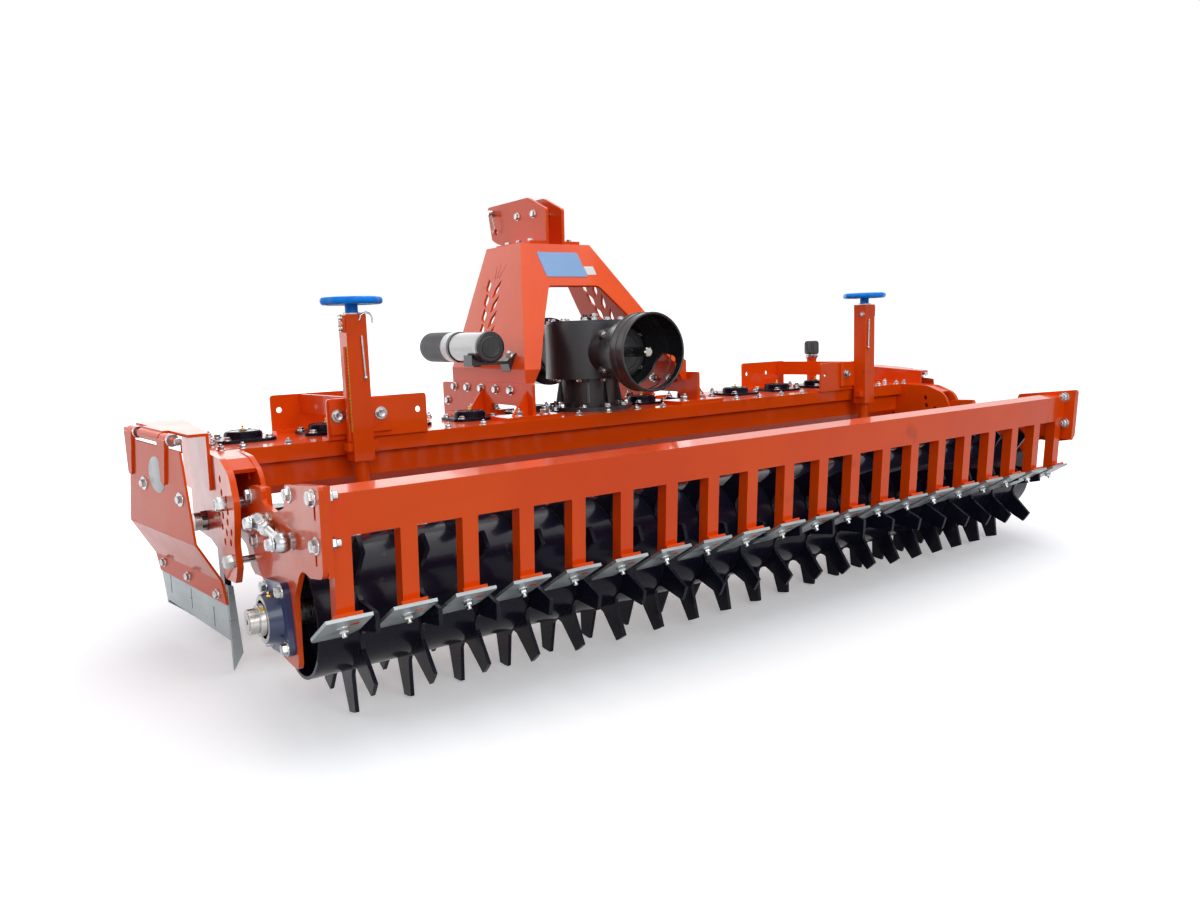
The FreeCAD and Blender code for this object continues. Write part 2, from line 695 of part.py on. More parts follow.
# flange bearings, turned a little on the side plates
bearingSquare = dim("bearing_square", 172)
bearingThick = dim("bearing_flange_thickness", 16)
bearingTurn = dim("bearing_turn", -10)
bearingBody = dim("bearing_body_radius", 58)
bearingReach = dim("bearing_body_reach", 46)
bs = bearingSquare / 2
bearingFlange = prism("bearing_flange", "x",
                      [(-bs, -bs, 26), (bs, -bs, 26), (bs, bs, 26), (-bs, bs, 26)],
                      0, bearingThick)
bearingBarrel = cone("bearing_barrel", "x", bearingThick, 0, 0, bearingBody + 8, bearingBody,
                     bearingReach - bearingThick)
bearingBore = rod("bearing_bore", "x", -10, 0, 0, shaftRadius + pinFit, 100)
bearing = cut("bearing", fuse("bearing_all", bearingFlange, bearingBarrel), bearingBore)
place(bearing, sideIn + sideThick, rollerY, rollerZ, (1, 0, 0), bearingTurn)
pair("roller_bearings", bearing)

# -------------------------------------------------------------------- roller
drum = cut("drum", rod("drum_out", "x", -drumHalf, rollerY, rollerZ, drumRadius, drumHalf * 2),
           rod("drum_in", "x", -drumHalf - 1, rollerY, rollerZ, drumRadius - drumWall,
               drumHalf * 2 + 2))
discX = drumHalf - drumDiscInset
discs = [rod("drum_disc", "x", discX - drumDiscThick, rollerY, rollerZ, drumRadius - drumWall,
             drumDiscThick),
         rod("drum_disc", "x", -discX, rollerY, rollerZ, drumRadius - drumWall, drumDiscThick)]
ringDisc = rod("ring_disc", "x", -ringThick / 2, 0, 0, ringTip, ringThick)
vf = valleyFloor / 2
valley = prism("valley", "x",
               [(-vf, -valleyRoot), (vf, -valleyRoot),
                (vf * 2.2, -valleyRoot - valleyRise),
                (valleyHalf * 1.12, -ringTip - 20), (-valleyHalf * 1.12, -ringTip - 20),
                (-vf * 2.2, -valleyRoot - valleyRise)],
               -ringThick, ringThick)
valleys = [copyAt("valley", valley, 0, 0, 0, (1, 0, 0), 40.0 * k + 20.0) for k in range(9)]
ringMaster = cut("ring_master", ringDisc, *valleys)
rings = []
for k in range(19):
    rings.append(copyAt("ring", ringMaster, ringPitch * (k - 9), rollerY, rollerZ, (1, 0, 0),
                        ringStep * (k - 4)))
node("roller_drum", fuse("roller_drum_solid", drum, *(discs + rings)))
stubLength = shaftEnd - discX
shafts = []
for s in (1, -1):
    start = discX if s > 0 else -shaftEnd
    shafts.append(rod("stub", "x", start, rollerY, rollerZ, shaftRadius, stubLength))
node("roller_shaft", together("roller_shaft_set", *shafts))

# screw adjusters that tip the scraper beam
screwY = dim("adjuster_clevis_y", -397)
screwZ = dim("adjuster_clevis_z", 460)
screwEndY = dim("adjuster_pin_y", -545)
screwEndZ = dim("adjuster_pin_z", 442)
adjOut = dim("adjuster_offset", 34)
adjuster = fuse(
    "adjuster_solid",
    rod("adjuster_head", "x", sideIn + sideThick, screwY, screwZ, 20, adjOut + 18),
    rod("adjuster_pin", "x", sideIn + sideThick, screwEndY, screwEndZ, 15, adjOut + 18),
    place(rod("adjuster_rod", "y", 0, 0, 0, 9, screwY - screwEndY),
          sideIn + sideThick + adjOut, screwEndY, screwEndZ + 0, (1, 0, 0), -83))
pair("scraper_adjusters", adjuster)

# --------------------------------------------------------------- headstock
leanRise = topZ - foldZ
leanRun = topRearY - foldY
leanTurn = Size("atan(%s / %s)" % (leanRise.text, leanRun.text),
                math.degrees(math.atan(leanRise.value / leanRun.value)))
leanLength = Size("sqrt(%s^2 + %s^2)" % (leanRise.text, leanRun.text),
                  math.hypot(leanRise.value, leanRun.value))


def upLean(z):
    return (size(z) - foldZ) * leanLength / leanRise


faceOutline = outline("head_face_outline", [
    (-skirtHalf, 0), (-portalLowHalf, 0), (-portalMidHalf, upLean(portalMidZ)),
    (-portalTopHalf - 12, upLean(portalTopZ), 26), (portalTopHalf + 12, upLean(portalTopZ), 26),
    (portalMidHalf, upLean(portalMidZ)), (portalLowHalf, 0), (skirtHalf, 0),
    (topHalf, leanLength), (-topHalf, leanLength)])
place(faceOutline, headX, foldY, foldZ, (1, 0, 0), leanTurn)
headFace = add("Part::Extrusion", "head_face")
headFace.Base = faceOutline
headFace.DirMode = "Normal"
headFace.Solid = True
headFace.Reversed = True
bind(headFace, "LengthFwd", sheetThick)

# each side face is a wedge-shaped sheet: its lower and upper edges are level
headSide = add("Part::Wedge", "head_side")
for key, value in (
        ("Xmin", -skirtHalf), ("Xmax", sheetThick - skirtHalf), ("Ymin", 0), ("Ymax", leanRise),
        ("Zmin", foldY - foldFrontY), ("Zmax", 0),
        ("X2min", -topHalf), ("X2max", sheetThick - topHalf),
        ("Z2min", foldY - topFrontY), ("Z2max", foldY - topRearY)):
    bind(headSide, key, value)
place(headSide, headX, foldY, foldZ, (1, 0, 0), 90)
skirt = prism("head_skirt", "x",
              [(foldY, foldZ + 4), (foldFrontY, foldZ + 4),
               (foldFrontY, foldZ - skirtDrop), (foldY, foldZ - skirtDrop)],
              headX - skirtHalf, headX - skirtHalf + sheetThick)
flap = prism("head_flap", "y",
             [(-skirtHalf, foldZ + 4), (-skirtHalf, foldZ - skirtDrop),
              (-skirtHalf + 22, foldZ - skirtDrop), (-portalLowHalf, foldZ + 4)],
             foldY, foldY + sheetThick, (), (headX, 0))
# ear of grain let into each side face: two columns of kernels under three awns
earY = dim("ear_y", 475)
earZ = dim("ear_z", 1027)
earStepY = dim("ear_step_back", 21)
earStepZ = dim("ear_step_down", 56)
earGap = dim("ear_column_gap", 45)
kernelLong = dim("kernel_length", 64)
kernelWide = dim("kernel_half_width", 20)
huskLong = dim("husk_length", 80)
husk = dim("husk_half_width", 15)
awnLong = dim("awn_length", 58)
awnHalf = dim("awn_half_width", 2)


def seed(name, length, wide):
    return prism(name, "x", [(0, 0, 3), (0 - wide, length * 0.42, 18), (0, length, 2),
                             (wide, length * 0.42, 18)], -skirtHalf - 40, -40)


frontSeed = seed("kernel", kernelLong, kernelWide)
rearSeed = seed("husk", huskLong, husk)
awn = prism("awn", "x", [(0 - awnHalf, 0), (awnHalf, 0), (awnHalf / 2, awnLong),
                         (0 - awnHalf / 2, awnLong)], -skirtHalf - 40, -40)
kernels = []
for k in range(4):
    y, z = earY - earStepY * k, earZ - earStepZ * k
    kernels.append(copyAt("kernel", frontSeed, headX, y, z, (1, 0, 0), -30))
    kernels.append(copyAt("husk", rearSeed, headX, y - earGap, z - earGap * 0.55, (1, 0, 0), 22))
for y, z, turn in ((0.45, 1.1, -22), (0.74, 1.16, -8), (1.0, 1.2, 30)):
    kernels.append(copyAt("awn", awn, headX, earY - earGap * y, earZ + earGap * z,
                          (1, 0, 0), turn))
headSideCut = cut("head_side_cut", headSide, *kernels)
leftHalf = fuse("head_left", headSideCut, skirt, flap)
rightHalf = centred("head_right", leftHalf)
headTop = prism("head_top", "x",
                [(topRearY, topZ), (topFrontY, topZ),
                 (topFrontY, topZ - sheetThick), (topRearY, topZ - sheetThick)],
                headX - topHalf, headX + topHalf)
carried("headstock", fuse("headstock_solid", headFace, leftHalf, rightHalf, headTop))

# feet that carry the headstock, with the ears for the lower links
footThick2 = dim("foot_plate_thickness", 12)
baseThick = dim("foot_base_thickness", 14)
baseInHalf = dim("foot_base_inner_half", 266)
baseOutHalf = dim("foot_base_outer_half", 477)
baseZ = troughTop + baseThick
footRearY = dim("foot_rear_y", -46)
footRearTop = dim("foot_rear_top_z", 706)
footFrontY = dim("foot_front_y", 634)
footFrontTop = dim("foot_front_top_z", 694)
linkY = dim("lower_link_y", 602)
linkZ = dim("lower_link_z", 500)
linkRadius = dim("lower_link_hole_radius", 14.4)
earOutHalf = dim("lower_link_outer_half", 440)
frontEdge = rotorY + flangeHalf
footOutline = [
    (footRearY, baseZ - 4), (footRearY, footRearTop, 8), (footFrontY, footFrontTop, 12),
    (footFrontY, linkZ - 40, 26), (linkY - 40, linkZ - 44, 30), (frontEdge + 6, 545),
    (frontEdge + 6, baseZ - 4), (258, baseZ - 4), (240, baseZ + 26, 12), (66, baseZ + 26, 12),
    (52, baseZ - 4)]
footSheet = prism("foot_sheet", "x", footOutline, headX - skirtHalf - footThick2,
                  headX - skirtHalf, [(linkY, linkZ, linkRadius)])
rearBase = box("foot_base_rear", headX - baseOutHalf, headX - baseInHalf, footRearY - 14, 54,
               troughTop, baseZ)
frontBase = box("foot_base_front", headX - baseOutHalf, headX - baseInHalf, 262,
                frontEdge - 4, troughTop, baseZ)


def gusset(name, y):
    return prism(name, "y",
                 [(-skirtHalf - footThick2 + 2, baseZ - 2), (-skirtHalf - footThick2 + 2, 684),
                  (-skirtHalf - footThick2 - 62, baseZ - 2)], y, y + 8, (), (headX, 0))


outerEar = prism("link_ear", "x",
                 [(linkY - 46, linkZ - 42, 20), (linkY + 42, linkZ - 42, 30),
                  (linkY + 42, linkZ + 42, 30), (linkY - 46, linkZ + 42, 20)],
                 headX - earOutHalf, headX - earOutHalf + footThick2,
                 [(linkY, linkZ, linkRadius)])
earWeb = box("link_web", headX - earOutHalf, headX - skirtHalf - footThick2,
             linkY - 58, linkY - 44, linkZ - 42, linkZ + 42)
footLeft = fuse("foot_left_solid", footSheet, rearBase, frontBase, gusset("gusset_rear", -14),
                gusset("gusset_front", 300), outerEar, earWeb)
carried("headstock_feet", together("headstock_feet_set", footLeft, centred("foot_right", footLeft)))

# top link bracket
cheekIn = dim("top_link_inner_half", 30)
cheekThick = dim("top_link_cheek", 12)
cheekFront = dim("top_link_front_y", 804.3)
footHalf = dim("top_link_foot_half", 113)
cheekHigh = dim("top_link_cheek_height", 188)
cheekDrop = dim("top_link_rear_drop", 56)
cheekPeak = dim("top_link_peak_front", 124)
cheekNose = dim("top_link_nose_back", 28.3)
cheekNoseZ = dim("top_link_nose_height", 53)
cheekThroat = dim("top_link_throat_back", 71.3)
cheekThroatZ = dim("top_link_throat_height", 33)
cheekTop = topZ + cheekHigh
topPinY = cheekFront - dim("top_link_pin_back", 54.3)
topPinZ = cheekTop - dim("top_link_pin_drop", 30)
topPinRadius = dim("top_link_pin_radius", 12.5)
topHoleY = cheekFront - dim("top_link_hole_back", 63.3)
topHoleZ = cheekTop - dim("top_link_hole_drop", 106)
cheek = prism("top_cheek", "x",
              [(topRearY, topZ), (topRearY - 4, cheekTop - cheekDrop, 12),
               (topRearY + cheekPeak, cheekTop, 30),
               (cheekFront, cheekTop, 12), (cheekFront - cheekNose, topZ + cheekNoseZ, 12),
               (cheekFront - cheekThroat, topZ + cheekThroatZ, 20),
               (topFrontY, topZ + cheekThroatZ / 4), (topFrontY, topZ)],
              -cheekIn - cheekThick, -cheekIn,
              [(topPinY, topPinZ, topPinRadius), (topHoleY, topHoleZ, topPinRadius)])
cheekFoot = prism("top_foot", "x",
                  [(topRearY + 4, topZ), (topFrontY, topZ),
                   (topFrontY, topZ + cheekThick), (topRearY + 4, topZ + cheekThick)],
                  -footHalf, -cheekIn)
cheekSide = fuse("top_side", cheek, cheekFoot)
topBracket = fuse("top_bracket", cheekSide, mirror("top_side_right", cheekSide))
carried("top_link_bracket", copyAt("top_link_bracket_at", topBracket, headX))
topPin = fuse("top_pin_solid",
              rod("top_pin_bar", "x", -cheekIn - cheekThick - 30, topPinY, topPinZ, topPinRadius,
                  (cheekIn + cheekThick) * 2 + 50),
              rod("top_pin_head", "x", cheekIn + cheekThick, topPinY, topPinZ,
                  topPinRadius + 6, 10))
carried("top_link_pin", copyAt("top_link_pin_at", topPin, headX))

# ------------------------------------------------------------------ gearbox
noseRadius = dim("gearbox_nose_radius", 88)
noseEnd = dim("gearbox_nose_end_y", -60)
boxParts = [
    rod("box_flange", "z", headX, rotorY, troughTop, boxFlangeRadius, boxFlangeThick),
    rod("box_neck", "z", headX, rotorY, troughTop, neckRadius, boxBottom - troughTop + 4),
    rod("box_body", "z", headX, rotorY, boxBottom, boxRadius, boxTop - boxBottom),
    rod("box_cover", "z", headX, rotorY, boxTop, boxRadius - 8, boxCoverThick),
    rod("box_nose", "y", headX, noseEnd, shaftZ, noseRadius, rotorY - noseEnd),
    rod("box_front_nose", "y", headX, rotorY, shaftZ, noseRadius, 210)]
carried("gearbox", fuse("gearbox_solid", *boxParts))
frontNoseEnd = rotorY + 210
carried("pto_shaft", together(
    "pto_shaft_set",
    rod("pto_rear", "y", headX, ptoEnd, shaftZ, ptoRadius, noseEnd - ptoEnd),
    rod("pto_front", "y", headX, frontNoseEnd, shaftZ, ptoRadius, ptoFrontEnd - frontNoseEnd)))
guardConeStart = dim("guard_cone_y", -162)
windowY = dim("guard_window_y", -160)
windowLong = dim("guard_window_half_length", 82)
windowHalf = dim("guard_window_half_width", 50)
windowRound = dim("guard_window_corner", 46)
guardWindow = prism("guard_window", "z",
                    [(0 - windowLong, 0 - windowHalf, windowRound),
                     (windowLong, 0 - windowHalf, windowRound),
                     (windowLong, windowHalf, windowRound),
                     (0 - windowLong, windowHalf, windowRound)], -guardRadius - 40, -60)
guardWindowAt = copyAt("guard_window_at", guardWindow, headX, windowY, shaftZ, (0, 1, 0), -45)
guardRearCup = cut(
    "guard_rear",
    fuse("guard_rear_out",
         rod("guard_rim", "y", headX, guardRimY, shaftZ, guardRadius, guardConeStart - guardRimY),
         cone("guard_cone", "y", headX, guardConeStart, shaftZ, guardRadius,
              guardRootRadius + guardWall, noseEnd - guardConeStart + 16)),
    fuse("guard_rear_in",
         rod("guard_rim_in", "y", headX, guardRimY - 1, shaftZ, guardRadius - guardWall,
             guardConeStart - guardRimY + 1),
         cone("guard_cone_in", "y", headX, guardConeStart, shaftZ, guardRadius - guardWall,
              guardRootRadius, noseEnd - guardConeStart),
         rod("guard_seat", "y", headX, noseEnd - 1, shaftZ, noseRadius, 60)),
    guardWindowAt)
carried("pto_guard_rear", guardRearCup)
guardFrontEnd = dim("guard_front_end_y", 520)
guardFront = cut(
    "guard_front",
    fuse("guard_front_out",
         rod("guard_front_rim", "y", headX, guardFrontEnd - 90, shaftZ, guardRadius, 90),
         rod("guard_front_seat", "y", headX, frontNoseEnd - 16, shaftZ, noseRadius + guardWall,
             guardFrontEnd - 90 - frontNoseEnd + 16),
         rod("guard_front_floor", "y", headX, guardFrontEnd - 96, shaftZ, guardRadius, 6)),
    rod("guard_front_in", "y", headX, guardFrontEnd - 90, shaftZ, guardRadius - guardWall, 91),
    rod("guard_front_bore", "y", headX, frontNoseEnd - 20, shaftZ, noseRadius, 200))
carried("pto_guard_front", guardFront)

# ------------------------------------------------------------ document tube
tubeOut = dim("document_tube_offset", 92, "beside the headstock")
tubeX = headX - skirtHalf - tubeOut
tubeY = dim("document_tube_rear_y", 83)
tubeZ = dim("document_tube_z", 830)
tubeRadius = dim("document_tube_radius", 51)
tubeLength = dim("document_tube_length", 502)
canister = place(rod("canister", "y", 0, 0, 0, tubeRadius, tubeLength), tubeX, tubeY, tubeZ,
                 (1, 0, 0), -90)
carried("document_tube", together("document_tube_set", canister))
bracketIn = headX - skirtHalf
bracketTop = dim("tube_bracket_top_z", 806)
bracketLean = bracketIn + (skirtHalf - topHalf) * (bracketTop - foldZ) / leanRise
carried("document_tube_bracket", cut("tube_bracket_fit", prism(
    "tube_bracket", "y",
    [(tubeX - tubeRadius - 5, tubeZ - 26), (tubeX - tubeRadius - 5, tubeZ - tubeRadius - 10),
     (bracketIn - 8, tubeZ - tubeRadius - 10), (bracketIn, foldZ - 4), (bracketIn, foldZ + 5),
     (bracketLean - 0.3, bracketTop),
     (bracketLean - 4, bracketTop), (bracketIn - 14, tubeZ - tubeRadius),
     (tubeX, tubeZ - tubeRadius + 2),
     (tubeX - tubeRadius, tubeZ - 26)],
    tubeY + 30, tubeY + 90), canister))

# ------------------------------------- spindle posts, brackets, levelling bar
tubeHalf = postTube / 2
wingOut = dim("post_wing_outer", 74)
wingIn = dim("post_wing_inner", 112)
stemFit = dim("stem_clearance", 0.5)
stemTop = dim("stem_top_z", 700)
boreTop = dim("post_bore_top_z", 860)
post = cut("post_body",
           fuse("post_all",
                box("post_tube", spindleX - tubeHalf, spindleX + tubeHalf, spindleY - tubeHalf,
                    spindleY + tubeHalf, postFoot, postTop),
                box("post_wing", spindleX - wingIn, spindleX + wingOut, spindleY + tubeHalf - 2,
                    spindleY + tubeHalf + 8, 602, 700),
                box("post_lug", spindleX - tubeHalf - 16, spindleX + tubeHalf + 14,
                    spindleY - 20, spindleY + 12, 556, 580)),
           rod("post_bore", "z", spindleX, spindleY, postFoot - 1, stemRadius + stemFit,
               boreTop - postFoot))
carried("spindle_posts", together("spindle_posts_set", post, mirror("post_left", post)))
crossRearY = spindleY + tubeHalf
crossPlate = dim("cross_plate_thickness", 8)
crossOut = spindleX + dim("cross_rear_outer", 79)
crossIn = spindleX - dim("cross_rear_inner", 229)
crossTop = dim("cross_top_z", 705)
crossFrontY = dim("cross_front_y", 300)
crossFrontLong = dim("cross_front_length", 262)
crossWebLow = dim("cross_web_bottom_z", 645)
crossHole = dim("cross_hole_radius", 9)
crossHoleZ = dim("cross_hole_z", 657)
crossLeftEnd = -spindleX - dim("cross_front_left", 135)
crossLeftWeb = -spindleX - dim("cross_web_left_front", 45)
crossRightEnd = spindleX - dim("cross_front_right", 323)
crossRightWeb = spindleX - dim("cross_web_right_front", 115)
crossLeftRear = -spindleX + dim("cross_web_left_rear", 9)
crossRightRear = spindleX - dim("cross_web_right_rear", 23)


def crossBracket(name, rearFrom, rearTo, webRear, webFront, frontFrom, holes, rearHole):
    """Rear and front plates across the cover with a web over the cap between."""
    flangeRear = rotorY - flangeHalf
    rearFace = crossRearY + crossPlate
    frontTo = frontFrom + crossFrontLong
    rearPlate = prism(name + "_rear", "y",
                      [(rearFrom, troughTop), (rearTo, troughTop), (rearTo, crossTop, 10),
                       (rearFrom, crossTop, 10)],
                      rearFace, rearFace + crossPlate, [(rearHole, crossHoleZ, crossHole)])
    sole = box(name + "_sole", rearFrom, rearTo, rearFace + crossPlate, flangeRear + 44,
               troughTop, troughTop + crossPlate)
    frontPlate = prism(name + "_front", "y",
                       [(frontFrom, troughTop), (frontTo, troughTop), (frontTo, crossTop, 10),
                        (frontFrom, crossTop, 10)],
                       crossFrontY - crossPlate, crossFrontY, holes)
    frontSole = box(name + "_front_sole", frontFrom, frontTo, crossFrontY - 52, crossFrontY,
                    troughTop, troughTop + crossPlate)
    web = prism(name + "_web", "z",
                [(webRear, rearFace + crossPlate / 2), (webRear + crossPlate,
                                                        rearFace + crossPlate / 2),
                 (webFront + crossPlate, crossFrontY - crossPlate / 2),
                 (webFront, crossFrontY - crossPlate / 2)],
                crossWebLow, crossTop - 1)
    return fuse(name, rearPlate, sole, frontPlate, frontSole, web)


carried("cross_brackets", together(
    "cross_brackets_set",
    crossBracket("cross_left", -crossOut, -crossIn, crossLeftRear, crossLeftWeb,
                 crossLeftEnd, [(crossLeftEnd + 26, crossHoleZ, crossHole)], -crossIn - 28),
    crossBracket("cross_right", crossIn, crossOut, crossRightRear, crossRightWeb,
                 crossRightEnd, [(crossRightEnd + 28, crossHoleZ, crossHole),
                                 (crossRightEnd + 150, crossHoleZ, crossHole)],
                 crossIn + 28)))

rimRadius = dim("handwheel_rim_section", 9)
rimChamfer = dim("handwheel_rim_chamfer", 4)
rimLow, rimHigh = wheelZ - rimRadius, wheelZ + rimRadius
wheel = cut("wheel_rim", fuse(
    "wheel_rim_all",
    cone("rim_foot", "z", spindleX, spindleY, rimLow, wheelRadius - rimChamfer, wheelRadius,
         rimChamfer),
    rod("rim_wall", "z", spindleX, spindleY, rimLow + rimChamfer, wheelRadius,
        (rimRadius - rimChamfer) * 2),
    cone("rim_crown", "z", spindleX, spindleY, rimHigh - rimChamfer, wheelRadius,
         wheelRadius - rimChamfer, rimChamfer)),
    rod("rim_inside", "z", spindleX, spindleY, rimLow - 1, wheelRadius - rimRadius * 2,
        rimRadius * 2 + 2))
spokes = [place(box("spoke", 0, wheelRadius - rimRadius * 1.5, -6, 6, 0, 7), spindleX, spindleY,
                wheelZ - 4, (0, 0, 1), 120.0 * k + 30.0) for k in range(3)]
hub = rod("wheel_hub", "z", spindleX, spindleY, postTop, 16, wheelZ - postTop + 8)
wheels = fuse("handwheel_solid", wheel, hub, *spokes)
carried("handwheels", together("handwheels_set", wheels, mirror("handwheel_left", wheels)))

barY = spindleY - barThick / 2
barTop = barBottom + barHeight
bar = prism("levelling_bar_section", "x",
            [(0, 0), (barThick, 0), (barThick, barHeight), (-46, barHeight),
             (-46, barHeight - 8), (0, barHeight - 8)],
            -barHalf, barHalf, (), (barY, barBottom))
stems = [rod("stem", "z", s * spindleX, spindleY, barTop - 4, stemRadius,
             stemTop - barTop + 4) for s in (1, -1)]
carried("levelling_bar", fuse("levelling_bar_solid", bar, *stems))

# ----------------------------------------------------------- side shields
toeSin, toeCos = sinOf(toeAngle), cosOf(toeAngle)
bracketThick = dim("hinge_bracket_thickness", 8)
bracketY0 = dim("hinge_bracket_rear_y", -104)
bracketY1 = dim("hinge_bracket_front_y", 214)
sideFace = troughHalf + sectorThick
legTop = hingeZ + sleeveRadius + 4
reach = (hingeX - sideFace) - 24
hingeStrip = prism("hinge_strip", "z",
                   [(sideFace, bracketY0), (hingeX - 24, bracketY0),
                    (hingeX - 24 + (bracketY1 - bracketY0) * toeSin / toeCos, bracketY1),
                    (sideFace, bracketY1)],
                   legTop - bracketThick, legTop)
hingeLeg = box("hinge_leg", sideFace, sideFace + bracketThick, bracketY0, bracketY1,
               troughTop - 96, legTop)
kneeStart = dim("hinge_knuckle_start", 78)
kneeLength = dim("hinge_knuckle_length", 130)
rodStart = dim("hinge_rod_start", -8)
rodLength = dim("hinge_rod_length", 330)
knuckle = fuse("knuckle_local",
               rod("knuckle_barrel", "y", 0, kneeStart, 0, sleeveRadius, kneeLength),
               box("knuckle_tab", -40, 0, kneeStart, kneeStart + kneeLength,
                   sleeveRadius + 4 - bracketThick, sleeveRadius + 4),
               rod("hinge_rod", "y", 0, rodStart, 0, rodRadius, rodLength))
place(knuckle, hingeX, hingeY, hingeZ, (0, 0, 1), -toeAngle)
pair("shield_brackets", fuse("shield_bracket_solid", hingeStrip, hingeLeg, knuckle))

sleeveGap = dim("sleeve_end_gap", 6)
plateTop = dim("shield_top_drop", -20)
foldDrop1 = dim("shield_fold_drop", -262)
lowerLength = dim("shield_lower_length", 150)
lowerTurn = dim("shield_lower_turn", 24)
wearLength = dim("wear_plate_length", 175)
sleeveRear = [kneeStart - sleeveGap - sleeveLength, kneeStart + kneeLength + sleeveGap + 24]
sleeveParts = []
for y in sleeveRear:
    y = size(y)
    sleeveParts.append(rod("sleeve", "y", 0, y, 0, sleeveRadius, sleeveLength))
    sleeveParts.append(box("sleeve_strap", 8, 8 + shieldThick, y, y + sleeveLength, -40, 4))
    sleeveParts.append(prism("spike", "x", [(y - 2, 2), (y + sleeveLength + 2, 2),
                                            (y + sleeveLength - 4, -120, 10),
                                            (y + sleeveLength - 26, -120, 10)],
                             8 + shieldThick, 8 + shieldThick * 2))
shieldRear = dim("shield_rear_y", -20)
upper = prism("shield_upper", "x",
              [(shieldRear, foldDrop1), (shieldRear + shieldLength, foldDrop1),
               (shieldRear + shieldLength, plateTop), (shieldRear, plateTop)],
              8, 8 + shieldThick)
lowerLocal = prism("shield_lower", "x",
                   [(shieldRear, 0), (shieldRear - 8, -22), (shieldRear + 20, -lowerLength),
                    (shieldRear + shieldLength - 60, -lowerLength),
                    (shieldRear + shieldLength, 0)],
                   0, shieldThick)
wearLocal = prism("shield_wear", "x",
                  [(shieldRear + 20, 40 - lowerLength), (shieldRear + 34, -lowerLength - wearLength),
                   (shieldRear + shieldLength - 110, 20 - lowerLength - wearLength),
                   (shieldRear + shieldLength - 70, 40 - lowerLength)],
                  -shieldThick, 0)
sleeveBore = rod("sleeve_bore", "y", 0, -60, 0, rodRadius + 0.5, 500)
lower = place(together("shield_lower_at", lowerLocal), 8, 0, foldDrop1 + 2, (0, 1, 0), lowerTurn)
wear = place(together("shield_wear_at", wearLocal), 8, 0, foldDrop1 + 2, (0, 1, 0), lowerTurn)
shieldLocal = cut("shield_local", fuse("shield_all", upper, lower, *sleeveParts), sleeveBore)
place(shieldLocal, hingeX, hingeY, hingeZ, (0, 0, 1), -toeAngle)
twoSides("side_shield", together("side_shield_set", shieldLocal))
twoSides("shield_wear_plate", place(together("shield_wear_set", wear), hingeX, hingeY, hingeZ,
                                    (0, 0, 1), -toeAngle))

# ------------------------------------------------------- check and export
doc.recompute()
for obj in doc.Objects:
    if "Invalid" in obj.State or "Error" in obj.State:
        raise RuntimeError("%s is in error: %s %s" % (obj.Label, obj.State, obj.getStatusString()))
for obj in made:
    if obj.isDerivedFrom("Sketcher::SketchObject"):
        continue
    if obj.Shape.isNull() or not obj.Shape.isValid():
        raise RuntimeError("%s has no valid shape" % obj.Label)
os.makedirs("parts", exist_ok=True)
for obj in nodes:
    obj.Shape.exportStep("parts/%s.step" % obj.Label)
print("%d nodes, %d objects, %d dimensions" % (len(nodes), len(made), rowCount[0]))
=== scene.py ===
from math import asin, cos, pi, radians, sin
import bpy
import numpy as np
from mathutils import Matrix


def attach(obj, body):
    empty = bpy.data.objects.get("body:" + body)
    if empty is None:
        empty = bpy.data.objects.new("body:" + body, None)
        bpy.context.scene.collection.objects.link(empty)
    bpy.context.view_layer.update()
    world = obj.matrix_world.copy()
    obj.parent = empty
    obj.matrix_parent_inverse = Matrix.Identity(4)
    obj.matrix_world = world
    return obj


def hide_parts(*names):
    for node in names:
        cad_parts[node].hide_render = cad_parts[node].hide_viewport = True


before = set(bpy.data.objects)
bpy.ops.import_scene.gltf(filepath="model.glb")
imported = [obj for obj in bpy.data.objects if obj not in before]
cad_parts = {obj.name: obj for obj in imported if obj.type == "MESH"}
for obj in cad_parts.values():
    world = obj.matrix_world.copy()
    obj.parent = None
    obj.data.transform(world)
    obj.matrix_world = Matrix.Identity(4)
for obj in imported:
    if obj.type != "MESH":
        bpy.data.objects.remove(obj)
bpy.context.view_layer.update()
print("frame loaded:", len(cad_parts), "nodes")

mm = 0.001
headX = -125.0          # plane of the headstock, gearbox and drive
rotorLine = 161.0       # rotor axes, measured along the machine
rotorPitch = 250.0
# a cap over each rotor but the sixth, where the gearbox stands
capCentres = [rotorPitch * (i - 5.5) for i in range(12) if i != 5]

# the trough and all that it carries lean nose down about its rear top edge
leanBy = {"degrees": 3.2, "edge": (0.0, -63.0, 586.0)}


# turns points nose down: y' = y cos a + z sin a, z' = z cos a - y sin a, about the edge
def lean(points):
    a = radians(leanBy["degrees"])
    turn = np.array([[1, 0, 0], [0, cos(a), sin(a)], [0, -sin(a), cos(a)]])
    return (points - leanBy["edge"]) @ turn.T + leanBy["edge"]


# angles 2 pi k / count, evenly round a full turn
def turns(count):
    return np.arange(count) * 2 * pi / count


# quads between neighbours of a rows by cols grid, its last column joined to its first
def gridFaces(rows, cols):
    r = np.arange(rows - 1)[:, None]
    c = np.arange(cols)[None, :]
    n = (c + 1) % cols
    return np.stack([r * cols + c, r * cols + n, (r + 1) * cols + n, (r + 1) * cols + c],
                    -1).reshape(-1, 4)


# rings of points (rows, cols, 3) joined into a wall, with a flat face at each end
def closedTube(rings):
    rows, cols = rings.shape[:2]
    ends = np.stack([np.arange(cols)[::-1], (rows - 1) * cols + np.arange(cols)])
    return rings.reshape(-1, 3), [gridFaces(rows, cols), ends]


